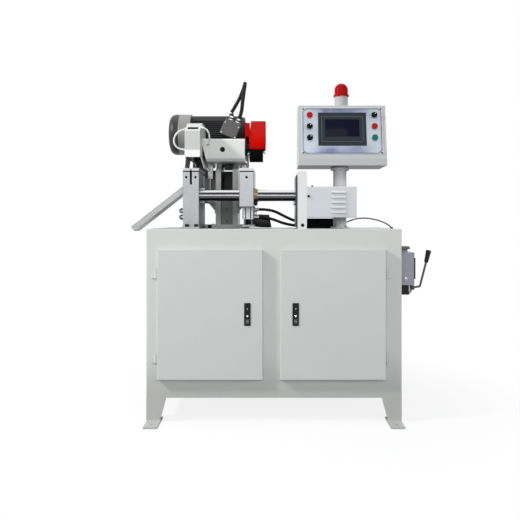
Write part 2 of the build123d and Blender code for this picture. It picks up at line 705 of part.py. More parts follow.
def end_plate():
    """End plate of the rods with the bearing of the screw, and the thin keeper plate on its face."""
    right = END_PLATE_X + END_PLATE_THICKNESS
    plate = block(END_PLATE_X, right, END_PLATE_FRONT, END_PLATE_REAR, TABLE_HEIGHT, END_PLATE_TOP)
    plate = chamfer(plate.edges().filter_by(Axis.Y).group_by(Axis.Z)[-1], 6.0)
    plate -= rod_y(8.0, END_PLATE_FRONT - 1, END_PLATE_FRONT + 14, END_PLATE_X + 23, TABLE_HEIGHT + 16)
    for rod_line in (FRONT_ROD_Y, REAR_ROD_Y):
        plate -= rod_x(ROD_RADIUS, END_PLATE_X - 1, END_PLATE_X + 30, rod_line, ROD_Z)
    plate -= rod_x(SCREW_RADIUS + RUNNING, END_PLATE_X - 1, right + 1, SCREW_Y, ROD_Z)
    plate -= rod_x(22.0, right - 22.0, right + 1, SCREW_Y, ROD_Z)
    for hole_y in (END_PLATE_FRONT + 30, END_PLATE_REAR - 30):
        plate -= rod_z(5.5, END_PLATE_TOP - 9, END_PLATE_TOP + 1, END_PLATE_X + 21, hole_y)
    keeper = block(
        END_PLATE_X - 8,
        END_PLATE_X,
        END_PLATE_FRONT + 5,
        END_PLATE_REAR - 5,
        TABLE_HEIGHT + 12,
        END_PLATE_TOP - 20,
    )
    for rod_line in (FRONT_ROD_Y, REAR_ROD_Y):
        keeper -= rod_x(ROD_RADIUS, END_PLATE_X - 9, END_PLATE_X + 1, rod_line, ROD_Z)
    keeper -= rod_x(SCREW_RADIUS + 2, END_PLATE_X - 9, END_PLATE_X + 1, SCREW_Y, ROD_Z)
    return [plate, keeper]


def servo_motor():
    """Feed drive bolted to the end plate, with its flange, body and plug sockets."""
    left = END_PLATE_X + END_PLATE_THICKNESS
    half = SERVO_SIZE / 2
    body = block(left + 6, left + SERVO_LENGTH, SCREW_Y - half, SCREW_Y + half, ROD_Z - half, ROD_Z + half)
    body = fillet(body.edges().filter_by(Axis.X), 6.0)
    flange = block(left, left + 8, SCREW_Y - half - 6, SCREW_Y + half + 6, ROD_Z - half, ROD_Z + half)
    plugs = block(left + 90, left + 130, SCREW_Y - 14, SCREW_Y + 14, ROD_Z - half - 18, ROD_Z - half + 1)
    return body + flange + plugs


def servo_cover():
    """Folded cover over the feed drive, open to the rear, with five pressed louvres in front."""
    left = END_PLATE_X + END_PLATE_THICKNESS
    right = left + COVER_LENGTH
    cover = block(left, right, END_PLATE_FRONT, COVER_REAR, COVER_BOTTOM, COVER_TOP)
    cover = fillet(cover.edges().group_by(Axis.Y)[0].filter_by(Axis.X), 4.0)
    cover -= block(
        left - 1,
        right - COVER_SHEET,
        END_PLATE_FRONT + COVER_SHEET,
        COVER_REAR + 1,
        COVER_BOTTOM + COVER_SHEET,
        COVER_TOP - COVER_SHEET,
    )
    middle_x = left + 143.0
    middle_z = (COVER_BOTTOM + COVER_TOP) / 2
    for index in range(LOUVRE_COUNT):
        z = middle_z + (index - (LOUVRE_COUNT - 1) / 2) * LOUVRE_PITCH
        x0 = middle_x - LOUVRE_LENGTH / 2
        x1 = middle_x + LOUVRE_LENGTH / 2
        cover -= block(x0, x1, END_PLATE_FRONT - 1, END_PLATE_FRONT + COVER_SHEET + 1, z - 4, z)
        hood = plate_yz(
            [
                (END_PLATE_FRONT + 1, z + 6),
                (END_PLATE_FRONT - 6, z - 3),
                (END_PLATE_FRONT - 6, z - 4.2),
                (END_PLATE_FRONT - 4.8, z - 4.2),
                (END_PLATE_FRONT + 1, z + 3.5),
            ],
            x0,
            x1,
        )
        for cheek in (x0, x1 - 1.2):
            hood += plate_yz(
                [
                    (END_PLATE_FRONT + 1, z + 6),
                    (END_PLATE_FRONT - 6, z - 4.2),
                    (END_PLATE_FRONT + 1, z - 4.2),
                ],
                cheek,
                cheek + 1.2,
            )
        cover += hood
    return cover


def cable_box():
    """Closed cable box on the table behind the feed drive."""
    box = block(160, 300, -85, -15, TABLE_HEIGHT, TABLE_HEIGHT + 48)
    box = fillet(box.edges().filter_by(Axis.Z), 4.0)
    box += rod_x(8.0, 299, 309, CABLE_START[1], CABLE_START[2])
    for _, port_y, port_z in (HOSE_UPPER[-1], HOSE_LOWER[-1]):
        box += rod_x(FITTING_RADIUS, 151, 161, port_y, port_z)
    return box


GEAR_CENTRES = GEAR_MODULE * (GEAR_TEETH + PINION_TEETH) / 2
INPUT_Y = SPINDLE_Y + GEAR_CENTRES * math.cos(math.radians(GEAR_LINE_ANGLE))
INPUT_Z = SPINDLE_Z + GEAR_CENTRES * math.sin(math.radians(GEAR_LINE_ANGLE))
COLUMN_SIDES = (COLUMN_INSIDE_LEFT - COLUMN_WALL, COLUMN_INSIDE_RIGHT + COLUMN_WALL)
ARM_LEFT = COLUMN_INSIDE_LEFT + 4.0
ARM_RIGHT = COLUMN_INSIDE_RIGHT - 4.0
FEED_PIN_Z = PIVOT_Z - (PIVOT_Y - FEED_Y) * math.tan(math.radians(HEAD_SWING / 2))
CASE_BEARING = 30.0
SHAFT_RADIUS = 12.0


def loop_yz(centre_a, radius_a, centre_b, radius_b, x0, x1):
    """The outline around two circles in the YZ plane, extruded from x0 to x1."""
    first = Pos(*centre_a) * Circle(radius_a)
    second = Pos(*centre_b) * Circle(radius_b)
    face = make_hull(first.edges() + second.edges())
    return extrude(Plane.YZ * face, x1 - x0).moved(Location((x0, 0, 0)))


def saw_column():
    """Cast column: base plate, two cheeks that carry the head pivot, and the web between them."""
    top = TABLE_HEIGHT + COLUMN_BASE
    left = COLUMN_INSIDE_LEFT - COLUMN_WALL
    right = COLUMN_INSIDE_RIGHT + COLUMN_WALL
    base = block(left - 56, right + 56, COLUMN_FRONT, COLUMN_REAR + 14, TABLE_HEIGHT, top)
    base = fillet(base.edges().filter_by(Axis.Z), 10.0)
    outline = [
        (COLUMN_FRONT, top - 1),
        (COLUMN_REAR, top - 1),
        (PIVOT_Y + PIVOT_BOSS, PIVOT_Z),
        (PIVOT_Y - PIVOT_BOSS * 0.3, PIVOT_Z + PIVOT_BOSS * 0.9),
        (COLUMN_FRONT + 22, COLUMN_SHOULDER),
        (COLUMN_FRONT, COLUMN_SHOULDER),
    ]
    column = base
    for x0, x1 in ((left, COLUMN_INSIDE_LEFT), (COLUMN_INSIDE_RIGHT, right)):
        column += plate_yz(outline, x0, x1) + rod_x(PIVOT_BOSS, x0, x1, PIVOT_Y, PIVOT_Z)
    web_top = TABLE_HEIGHT + 190.0
    inside = (COLUMN_INSIDE_LEFT - 1, COLUMN_INSIDE_RIGHT + 1)
    column += block(*inside, 10, 24, top - 1, web_top)
    middle = (COLUMN_INSIDE_LEFT + COLUMN_INSIDE_RIGHT) / 2
    wall_front = COLUMN_REAR - 24.0
    wall_top = PIVOT_Z - PIVOT_BOSS - 8.0
    column += block(*inside, wall_front, wall_front + 14, top - 1, wall_top)
    for hole_z in (TABLE_HEIGHT + 32.0, TABLE_HEIGHT + 95.0):
        column -= rod_y(7.0, 9, 16, middle, hole_z)
    column -= rod_x(PIVOT_RADIUS, left - 1, right + 1, PIVOT_Y, PIVOT_Z)
    for bolt_x in (left - 30, right + 30):
        for bolt_y in (COLUMN_REAR - 90, COLUMN_REAR - 16):
            column -= rod_z(7.0, top - 10, top + 1, bolt_x, bolt_y)
    return column


def pivot_shaft():
    """The shaft that the saw head swings on, with its two end collars."""
    left = COLUMN_INSIDE_LEFT - COLUMN_WALL
    right = COLUMN_INSIDE_RIGHT + COLUMN_WALL
    shaft = rod_x(PIVOT_RADIUS, left - 6, right + 6, PIVOT_Y, PIVOT_Z)
    shaft += rod_x(PIVOT_RADIUS + 8, left - 12, left, PIVOT_Y, PIVOT_Z)
    return shaft + rod_x(PIVOT_RADIUS + 8, right, right + 12, PIVOT_Y, PIVOT_Z)


def feed_lug(feed_x):
    """A lug on the back of the gear case with two ears for the pin of a feed rod."""
    half = FEED_BLOCK / 2 + 1.0
    left = feed_x - half - FEED_EAR
    right = feed_x + half + FEED_EAR
    lug = block(left, right, CASE_REAR - 1, FEED_Y + 14, FEED_PIN_Z + 21, MOTOR_PLATE_BOTTOM)
    for x0 in (feed_x - half - FEED_EAR, feed_x + half):
        lug += block(x0, x0 + FEED_EAR, FEED_Y - 14, FEED_Y + 14, FEED_PIN_Z, FEED_PIN_Z + 22)
        lug += rod_x(14.0, x0, x0 + FEED_EAR, FEED_Y, FEED_PIN_Z)
    return lug - rod_x(FEED_PIN_RADIUS + FEED_PIN_FLOAT, feed_x - 40, feed_x + 40, FEED_Y, FEED_PIN_Z)


def gear_case():
    """Cast gear case with bearing bosses, drain plug seat, and the arm back to the head pivot."""
    shell = block(CASE_LEFT, CASE_RIGHT, CASE_FRONT, CASE_REAR, CASE_BOTTOM, CASE_TOP)
    shell = chamfer(shell.edges().filter_by(Axis.X).group_by(Axis.Z)[0].group_by(Axis.Y)[0], 14.0)
    shell = fillet(shell.edges().filter_by(Axis.X).group_by(Axis.Z)[-1].group_by(Axis.Y)[0], 8.0)
    slant = [
        (CASE_LEFT - 1, CASE_BOTTOM - 1),
        (CASE_LEFT + CASE_SLANT_WIDTH, CASE_BOTTOM - 1),
        (CASE_LEFT, CASE_BOTTOM + CASE_SLANT_HEIGHT),
        (CASE_LEFT - 1, CASE_BOTTOM + CASE_SLANT_HEIGHT),
    ]
    shell -= plate_xz(slant, CASE_FRONT - 1, CASE_REAR + 1)
    arm_top = MOTOR_PLATE_BOTTOM
    arm = block(ARM_LEFT, ARM_RIGHT, CASE_REAR - 1, PIVOT_Y, CASE_BOTTOM + 4, arm_top)
    arm += rod_x(PIVOT_BOSS, ARM_LEFT, ARM_RIGHT, PIVOT_Y, PIVOT_Z)
    case = shell + arm
    for feed_x in FEED_LINES:
        case += feed_lug(feed_x)
    case -= block(
        CASE_LEFT + CASE_BEARING,
        CASE_RIGHT - CASE_BEARING,
        CASE_FRONT + CASE_WALL + 10,
        CASE_REAR - CASE_WALL,
        CASE_BOTTOM + CASE_WALL,
        CASE_TOP - CASE_WALL,
    )
    case -= rod_x(PIVOT_RADIUS + RUNNING, ARM_LEFT - 1, ARM_RIGHT + 1, PIVOT_Y, PIVOT_Z)
    case -= rod_x(SPINDLE_RADIUS + RUNNING, CASE_LEFT - 1, CASE_RIGHT - 6, SPINDLE_Y, SPINDLE_Z)
    case -= rod_x(SHAFT_RADIUS + RUNNING, CASE_LEFT + 6, CASE_RIGHT + 1, INPUT_Y, INPUT_Z)
    plug_x = CASE_LEFT + 98.0
    plug_z = CASE_TOP - PLUG_DROP
    case -= rod_y(PLUG_RADIUS, CASE_FRONT - 1, CASE_FRONT + 6, plug_x, plug_z)
    return case + rod_y(PLUG_RADIUS - 5, CASE_FRONT + 1, CASE_FRONT + 7, plug_x, plug_z)


def tooth_outline(teeth, turn, slack):
    """The outline of an involute spur gear, points about its own centre."""
    pitch_radius = GEAR_MODULE * teeth / 2
    base_radius = pitch_radius * math.cos(math.radians(20.0))
    tip = pitch_radius + 0.9 * GEAR_MODULE
    root = pitch_radius - 1.2 * GEAR_MODULE
    start = max(base_radius, root + 0.1)
    base_angle = math.tan(math.radians(20.0)) - math.radians(20.0)
    half_tooth = math.pi / (2 * teeth) - slack / pitch_radius
    points = []
    for index in range(teeth):
        middle = math.radians(turn) + 2 * math.pi * index / teeth
        flank = []
        for step in range(4):
            radius = start + (tip - start) * step / 3
            pressure = math.acos(min(1.0, base_radius / radius))
            flank.append((radius, half_tooth + base_angle - (math.tan(pressure) - pressure)))
        flank.insert(0, (root, flank[0][1]))
        for radius, angle in flank:
            points.append((radius * math.cos(middle - angle), radius * math.sin(middle - angle)))
        for radius, angle in reversed(flank):
            points.append((radius * math.cos(middle + angle), radius * math.sin(middle + angle)))
    return points


def gear(teeth, turn, y, z):
    """A spur gear along X at the gear plane."""
    points = [(y + a, z + b) for a, b in tooth_outline(teeth, turn, 0.06)]
    return plate_yz(points, GEAR_X - GEAR_WIDTH / 2, GEAR_X + GEAR_WIDTH / 2)


def spindle():
    """Blade spindle with its gear and the inner blade flange."""
    blade_right = VISE_X + BLADE_THICKNESS / 2
    shaft = rod_x(SPINDLE_RADIUS, blade_right, CASE_RIGHT - 8, SPINDLE_Y, SPINDLE_Z)
    shaft += rod_x(40.0, blade_right, blade_right + 9, SPINDLE_Y, SPINDLE_Z)
    shaft += rod_x(11.0, VISE_X - 22, blade_right + 1, SPINDLE_Y, SPINDLE_Z)
    return shaft + gear(GEAR_TEETH, GEAR_LINE_ANGLE, SPINDLE_Y, SPINDLE_Z)


def saw_blade():
    """Toothed blade, and the outer flange and nut that clamp it."""
    points = []
    pitch = 2 * math.pi / BLADE_TEETH
    for index in range(BLADE_TEETH):
        base = index * pitch
        for radius, share in ((BLADE_RADIUS - 6.5, 0.0), (BLADE_RADIUS, 0.08), (BLADE_RADIUS - 1.2, 0.3)):
            angle = base + share * pitch
            points.append((SPINDLE_Y + radius * math.cos(angle), SPINDLE_Z + radius * math.sin(angle)))
        angle = base + 0.85 * pitch
        radius = BLADE_RADIUS - 7.0
        points.append((SPINDLE_Y + radius * math.cos(angle), SPINDLE_Z + radius * math.sin(angle)))
    half = BLADE_THICKNESS / 2
    blade = plate_yz(points, VISE_X - half, VISE_X + half)
    blade -= rod_x(11.0, VISE_X - 5, VISE_X + 5, SPINDLE_Y, SPINDLE_Z)
    flange = rod_x(36.0, VISE_X - half - 8, VISE_X - half, SPINDLE_Y, SPINDLE_Z)
    flange -= rod_x(11.0, VISE_X - 20, VISE_X, SPINDLE_Y, SPINDLE_Z)
    nut_left = VISE_X - half - 20
    nut = extrude(Plane.YZ * RegularPolygon(19.0, 6), 12.0).moved(Location((nut_left, SPINDLE_Y, SPINDLE_Z)))
    nut -= rod_x(11.0, nut_left - 1, nut_left + 13, SPINDLE_Y, SPINDLE_Z)
    return [blade, flange, nut]


def pulley(radius, y, z):
    """A grooved belt pulley with two flanges."""
    left = BELT_X - BELT_WIDTH / 2
    right = BELT_X + BELT_WIDTH / 2
    wheel = rod_x(radius, left - 4, right + 4, y, z)
    for x0 in (left - 4, right):
        wheel += rod_x(radius + BELT_THICKNESS, x0, x0 + 4, y, z)
    return wheel - rod_x(radius - 14, right - 4, right + 5, y, z)


def input_shaft():
    """Pinion shaft with the driven belt pulley."""
    right = BELT_X + BELT_WIDTH / 2 + 4
    shaft = rod_x(SHAFT_RADIUS, CASE_LEFT + 8, right, INPUT_Y, INPUT_Z)
    turn = GEAR_LINE_ANGLE + 180.0 + 180.0 / PINION_TEETH
    return shaft + gear(PINION_TEETH, turn, INPUT_Y, INPUT_Z) + pulley(DRIVEN_PULLEY_RADIUS, INPUT_Y, INPUT_Z)


def motor_rotor():
    """Motor shaft with its rotor core, cooling fan and belt pulley."""
    right = BELT_X + BELT_WIDTH / 2 + 6
    rotor = rod_x(SHAFT_RADIUS, COWL_LEFT + 30, right, MOTOR_Y, MOTOR_Z)
    rotor += rod_x(46.0, -390, -230, MOTOR_Y, MOTOR_Z)
    rotor += rod_x(26.0, COWL_LEFT + 40, COWL_LEFT + 76, MOTOR_Y, MOTOR_Z)
    for index in range(7):
        blade = block(COWL_LEFT + 42, COWL_LEFT + 74, -2, 2, 20, COWL_RADIUS - 17)
        turned = blade.rotate(Axis.X, index * 360.0 / 7)
        rotor += turned.moved(Location((0, MOTOR_Y, MOTOR_Z)))
    return rotor + pulley(MOTOR_PULLEY_RADIUS, MOTOR_Y, MOTOR_Z)


def drive_belt():
    """The belt around both pulleys."""
    left = BELT_X - BELT_WIDTH / 2 + SEAT_GAP
    right = BELT_X + BELT_WIDTH / 2 - SEAT_GAP
    low = (INPUT_Y, INPUT_Z)
    high = (MOTOR_Y, MOTOR_Z)
    inner_low = DRIVEN_PULLEY_RADIUS + SEAT_GAP
    inner_high = MOTOR_PULLEY_RADIUS + SEAT_GAP
    belt = loop_yz(low, inner_low + BELT_THICKNESS, high, inner_high + BELT_THICKNESS, left, right)
    return belt - loop_yz(low, inner_low, high, inner_high, left - 1, right + 1)


def belt_guard():
    """Belt guard with a rounded outer rim and a bracket to the gear case, and its lower cover."""
    low = (INPUT_Y, INPUT_Z)
    high = (MOTOR_Y, MOTOR_Z)
    radius = BELT_GUARD_RADIUS
    left = BELT_GUARD_LEFT
    hull = loop_yz(low, radius, high, radius, left, BELT_GUARD_RIGHT)
    hull = fillet(hull.faces().sort_by(Axis.X)[-1].edges(), 7.0)
    hull -= loop_yz(low, radius - 3, high, radius - 3, left - 1, BELT_GUARD_RIGHT - 4)
    far = left - 20
    below = block(far, BELT_GUARD_RIGHT + 5, -300, 400, TABLE_HEIGHT, BELT_GUARD_CUT)
    upper = hull - below
    wing_low = CASE_TOP + 16.0
    wing_y = INPUT_Y - 40.0
    upper += block(CASE_RIGHT, left + 2, wing_y, wing_y + 3, wing_low, wing_low + 66)
    upper += block(CASE_RIGHT, CASE_RIGHT + 3, wing_y, CASE_REAR, BELT_GUARD_CUT + 8, wing_low + 40)
    upper += block(left, left + 3, wing_y, wing_y + 40, wing_low, wing_low + 30)
    upper -= rod_x(SHAFT_RADIUS + 4, CASE_RIGHT - 1, CASE_RIGHT + 4, INPUT_Y, INPUT_Z)
    reach = DRIVEN_PULLEY_RADIUS + BELT_THICKNESS + 3.0
    cover_right = BELT_GUARD_RIGHT - 11.0
    cover = rod_x(reach, left, cover_right, INPUT_Y, INPUT_Z)
    cover -= rod_x(reach - 2, left - 1, cover_right - 2, INPUT_Y, INPUT_Z)
    cover -= block(left - 5, BELT_GUARD_RIGHT, -300, 400, BELT_GUARD_CUT + 10, PANEL_TOP)
    cover -= block(left - 5, BELT_GUARD_RIGHT, INPUT_Y + 20, 400, TABLE_HEIGHT, PANEL_TOP)
    return [upper, cover]


def motor_plate():
    """Plate on the arm that carries the motor, with the slots that tension the belt."""
    bottom = MOTOR_PLATE_BOTTOM
    top = bottom + MOTOR_PLATE_THICKNESS
    plate = block(-420, -125, 70, 250, bottom, top)
    plate = fillet(plate.edges().filter_by(Axis.Z), 8.0)
    for slot_x in (MOTOR_RIGHT - 53, COWL_RIGHT + 57):
        for slot_y in (MOTOR_Y - 62, MOTOR_Y + 62):
            plate -= block(slot_x - 4.5, slot_x + 4.5, slot_y - 9, slot_y + 9, bottom - 1, top + 1)
    return plate


def feed_cylinder(feed_x, cheek_x):
    """One of the two short cylinders beside the column, on a bracket against the cheek."""
    low = FEED_BARREL_TOP - FEED_BARREL_HEIGHT
    half = FEED_BARREL_HALF
    front = FEED_Y - half
    rear = FEED_Y + half
    body = block(feed_x - half, feed_x + half, front, rear, low, FEED_BARREL_TOP)
    body = fillet(body.edges().filter_by(Axis.Z), 5.0)
    out = math.copysign(1.0, feed_x - cheek_x)
    far = feed_x + out * half
    body += block(min(cheek_x, far), max(cheek_x, far), front, rear, low - FEED_SHELF, low + 0.5)
    plate_x = cheek_x + out * 6.0
    body += block(min(cheek_x, plate_x), max(cheek_x, plate_x), front, rear, low - 60.0, low)
    rib = [(cheek_x, low - 55.0), (far - out * 8.0, low - 5.0), (cheek_x, low - 5.0)]
    body += plate_xz(rib, FEED_Y - 4.0, FEED_Y + 4.0)
    bore_top = FEED_BARREL_TOP - 6.0
    body -= rod_z(FEED_BORE, low + 4.0, bore_top, feed_x, FEED_Y)
    return body - rod_z(FEED_ROD_RADIUS + RUNNING, bore_top - 1, FEED_BARREL_TOP + 1, feed_x, FEED_Y)


def feed_rod(feed_x):
    """Piston, rod and the end block with the floating pin of one cylinder."""
    low = FEED_BARREL_TOP - FEED_BARREL_HEIGHT + 5.0
    half = FEED_BLOCK / 2
    rod = rod_z(FEED_ROD_RADIUS, low, FEED_BLOCK_BOTTOM + 1, feed_x, FEED_Y)
    rod += rod_z(FEED_BORE - RUNNING, low, low + FEED_PISTON, feed_x, FEED_Y)
    top = FEED_PIN_Z + 12
    end = block(feed_x - half, feed_x + half, FEED_Y - half, FEED_Y + half, FEED_BLOCK_BOTTOM, top)
    rod += chamfer(end.edges().filter_by(Axis.Z), 2.0)
    reach = half + FEED_EAR + 3.0
    return rod + rod_x(FEED_PIN_RADIUS, feed_x - reach, feed_x + reach, FEED_Y, FEED_PIN_Z)


def motor_frame():
    """Finned motor frame with its end shields, feet and the bores of the shaft."""
    left = COWL_RIGHT
    right = MOTOR_RIGHT
    fins = rod_x(MOTOR_CORE, left, right, MOTOR_Y, MOTOR_Z)
    bars = []
    rows = int((MOTOR_CORE - 10) / MOTOR_FIN_PITCH)
    for index in range(-rows, rows + 1):
        z = MOTOR_Z + index * MOTOR_FIN_PITCH
        bars.append(block(left + 6, right - 28, MOTOR_Y - 110, MOTOR_Y + 110, z - 1.6, z + 1.6))
    rows = int((MOTOR_CORE - 20) / MOTOR_FIN_PITCH)
    for index in range(-rows, rows + 1):
        y = MOTOR_Y + index * MOTOR_FIN_PITCH
        bars.append(block(left + 6, right - 28, y - 1.6, y + 1.6, MOTOR_Z + MOTOR_CORE - 22, MOTOR_Z + 110))
    envelope = rod_x(MOTOR_FINS, left + 6, right - 28, MOTOR_Y, MOTOR_Z)
    for bar in bars:
        fins += bar & envelope
    fins += rod_x(MOTOR_FINS - 3, right - 28, right - 8, MOTOR_Y, MOTOR_Z)
    fins += rod_x(COWL_RADIUS - 2 - SEAT_GAP, left - 14, left, MOTOR_Y, MOTOR_Z)
    fins += rod_x(30.0, right - 1, right + 8, MOTOR_Y, MOTOR_Z)
    foot_low = MOTOR_PLATE_BOTTOM + MOTOR_PLATE_THICKNESS
    for x0 in (left + 40, right - 70):
        foot = block(x0, x0 + 34, MOTOR_Y - 72, MOTOR_Y + 72, foot_low, foot_low + 12)
        foot += block(x0 + 4, x0 + 30, MOTOR_Y - 52, MOTOR_Y + 52, foot_low, MOTOR_Z - 40)
        fins += foot
    boss_low = MOTOR_Z + MOTOR_CORE - 4
    boss_top = CONDUIT_PATH[-1][2] - CONDUIT_SEAT
    fins += rod_z(12.0, boss_low, boss_top, CONDUIT_PATH[-1][0], CONDUIT_PATH[-1][1])
    fins -= rod_x(50.0, -400, -220, MOTOR_Y, MOTOR_Z)
    return fins - rod_x(SHAFT_RADIUS + RUNNING, left - 20, right + 10, MOTOR_Y, MOTOR_Z)


def motor_cowl():
    """Fan cowl of the motor with a rounded end and radial air slots."""
    wall = 2.0
    cowl = rod_x(COWL_RADIUS, COWL_LEFT, COWL_RIGHT, MOTOR_Y, MOTOR_Z)
    cowl = fillet(cowl.faces().sort_by(Axis.X)[0].edges(), 34.0)
    hollow = rod_x(COWL_RADIUS - wall, COWL_LEFT + wall, COWL_RIGHT + 5, MOTOR_Y, MOTOR_Z)
    cowl -= fillet(hollow.faces().sort_by(Axis.X)[0].edges(), 32.0)
    for index in range(20):
        slot = block(COWL_LEFT - 1, COWL_LEFT + wall + 1, -2.5, 2.5, 26, COWL_RADIUS - 37)
        cowl -= slot.rotate(Axis.X, index * 18.0).moved(Location((0, MOTOR_Y, MOTOR_Z)))
    return cowl


def terminal_box():
    """Motor terminal box, turned on the motor, with its lid and two cable glands."""
    box = block(-40, 40, -78, 20, -31, 48)
    box = fillet(box.edges().filter_by(Axis.Y), 4.0)
    lid = block(-43, 43, -85, -78, -33, 33)
    lid = chamfer(lid.edges().group_by(Axis.Y)[0], 2.0)
    for gland_x in (-18, 18):
        box += rod_z(13.0, 47, 56, gland_x, -45) + rod_z(11.0, 55, 72, gland_x, -45)
    box = box.rotate(Axis.Y, TERMINAL_TURN).moved(Location(TERMINAL_MIDDLE))
    lid = lid.rotate(Axis.Y, TERMINAL_TURN).moved(Location(TERMINAL_MIDDLE))
    box -= rod_x(MOTOR_FINS + SEAT_GAP, -500, 0, MOTOR_Y, MOTOR_Z)
    return [box, lid]


def guard_outline(inset):
    """The side outline of the blade guard: flat front, twice bevelled top, drawn in by the inset."""
    front = SPINDLE_Y - GUARD_RADIUS + inset
    top = SPINDLE_Z + GUARD_RADIUS - inset
    rear = SPINDLE_Y + GUARD_RADIUS + 3 - inset
    return [
        (front, GUARD_BOTTOM - inset),
        (front, top - 51),
        (front + 68, top - 16),
        (front + 113, top),
        (SPINDLE_Y + 65 - inset * 0.4, top),
        (rear - 20 - inset * 0.2, top - 58 + inset * 0.2),
        (rear, top - 143),
        (rear, GUARD_BOTTOM - inset),
    ]


def blade_guard():
    """Sheet guard around the upper part of the blade with a flared skirt over the vise."""
    left = CASE_LEFT - GUARD_WIDTH
    right = CASE_LEFT
    guard = plate_yz(guard_outline(0.0), left, right)
    guard -= plate_yz(guard_outline(GUARD_SHEET), left + GUARD_SHEET, right - GUARD_SHEET)
    guard -= rod_x(SPINDLE_RADIUS + 4, right - 5, right + 1, SPINDLE_Y, SPINDLE_Z)
    front = SPINDLE_Y - GUARD_RADIUS
    top = SPINDLE_Z + GUARD_RADIUS
    guard -= block(left + 10, right - 12, front - 5, front + 52, top - 40, top - 28)
    skirt_low = CLAMP_TOP + CAP_THICKNESS + 6.0
    for top_x, low_x in ((left, left - 7), (right - GUARD_SHEET, right + 14)):
        flap = [
            (top_x, GUARD_BOTTOM + 3),
            (top_x + GUARD_SHEET, GUARD_BOTTOM + 3),
            (low_x + GUARD_SHEET, skirt_low),
            (low_x, skirt_low),
        ]
        guard += plate_xz(flap, SPINDLE_Y - 110, SPINDLE_Y + 60)
    return guard


SLOPE = math.atan2(PANEL_SET_BACK, PANEL_TOP - PANEL_BOTTOM - PANEL_LIP)
FACE_MIDDLE_Y = PANEL_FRONT + (FACE_MIDDLE_Z - PANEL_BOTTOM - PANEL_LIP) * math.tan(SLOPE)
FACE_PLANE = Plane(
    origin=(POST_X, FACE_MIDDLE_Y, FACE_MIDDLE_Z),
    x_dir=(1, 0, 0),
    z_dir=(0, -math.cos(SLOPE), math.sin(SLOPE)),
)
HMI_RISE = 7.6
BEZEL_RADIUS = BUTTON_HEAD + 1.8
BEZEL_HEIGHT = 6.0
BEZEL_FLOOR = 1.5
PLUNGER_RADIUS = 9.0


def on_face(shape, u, v, w):
    """Places a shape on the sloping panel face: u across, v up the slope, w outwards."""
    return FACE_PLANE * Pos(u, v, w) * shape


def face_disc(radius, u, v, w0, w1):
    """A round bar square to the panel face."""
    return on_face(Cylinder(radius, w1 - w0), u, v, (w0 + w1) / 2)


def face_block(width, height, u, v, w0, w1):
    """A box square to the panel face."""
    return on_face(Box(width, height, w1 - w0), u, v, (w0 + w1) / 2)


def button_places():
    """The six places on the panel: the left column from the top, then the right column."""
    return [(side * BUTTON_COLUMN, row) for side in (-1, 1) for row in BUTTON_ROWS]


def panel_post():
    """Round post with a foot flange on the table and a head flange under the panel box."""
    post = rod_z(POST_RADIUS, TABLE_HEIGHT, PANEL_BOTTOM, POST_X, POST_Y)
    post -= rod_z(POST_RADIUS - 4, TABLE_HEIGHT - 1, PANEL_BOTTOM + 1, POST_X, POST_Y)
    for z0, z1 in ((TABLE_HEIGHT, TABLE_HEIGHT + 8.0), (PANEL_BOTTOM - 14.0, PANEL_BOTTOM)):
        flange = rod_z(POST_RADIUS + 12.0, z0, z1, POST_X, POST_Y)
        flange -= rod_z(POST_RADIUS - 1, z0 - 1, z1 + 1, POST_X, POST_Y)
        post += flange
    return post


def panel_box():
    """Folded panel box with a sloping front, cut out for the screen unit and the push buttons."""
    left = POST_X - PANEL_WIDTH / 2
    outline = [
        (PANEL_FRONT, PANEL_BOTTOM),
        (PANEL_REAR, PANEL_BOTTOM),
        (PANEL_REAR, PANEL_TOP),
        (PANEL_FRONT + PANEL_SET_BACK, PANEL_TOP),
        (PANEL_FRONT, PANEL_BOTTOM + PANEL_LIP),
    ]
    face = make_face(Polyline(*outline, close=True))
    inside = offset(face, amount=-PANEL_SHEET, kind=Kind.INTERSECTION)
    box = extrude(Plane.YZ * face, PANEL_WIDTH)
    box -= extrude(Plane.YZ * inside, PANEL_WIDTH - 2 * PANEL_SHEET).moved(Location((PANEL_SHEET, 0, 0)))
    box = box.moved(Location((left, 0, 0)))
    box -= face_block(HMI_WIDTH - 20, HMI_HEIGHT - 20, 0, HMI_RISE, -8, 8)
    for u, v in button_places():
        box -= face_disc(BUTTON_HOLE, u, v, -8, 8)
    return box - rod_z(20.0, PANEL_BOTTOM - 1, PANEL_BOTTOM + PANEL_SHEET + 1, POST_X, POST_Y)


def panel_faceplate():
    """Face plate with clipped corners, and the six button bezels with their barrels."""
    plate = face_block(FACE_WIDTH, FACE_HEIGHT, 0, 0, 0, FACE_THICKNESS)
    plate = chamfer(plate.edges().filter_by(lambda edge: abs(edge.length - FACE_THICKNESS) < 0.01), 9.0)
    plate -= face_block(HMI_WIDTH - 20, HMI_HEIGHT - 20, 0, HMI_RISE, -1, FACE_THICKNESS + 1)
    bezels = []
    for u, v in button_places():
        plate -= face_disc(BUTTON_HOLE, u, v, -1, FACE_THICKNESS + 1)
        bezel = face_disc(BEZEL_RADIUS, u, v, FACE_THICKNESS, FACE_THICKNESS + BEZEL_HEIGHT)
        bezel -= face_disc(BUTTON_HEAD + SEAT_GAP, u, v, FACE_THICKNESS + BEZEL_FLOOR, FACE_THICKNESS + 20)
        bezel += face_disc(BUTTON_HOLE - SEAT_GAP, u, v, -26, FACE_THICKNESS + BEZEL_FLOOR)
        bezel -= face_disc(PLUNGER_RADIUS + SEAT_GAP, u, v, -20, FACE_THICKNESS + BEZEL_HEIGHT + 1)
        bezels.append(bezel)
    return [plate] + bezels


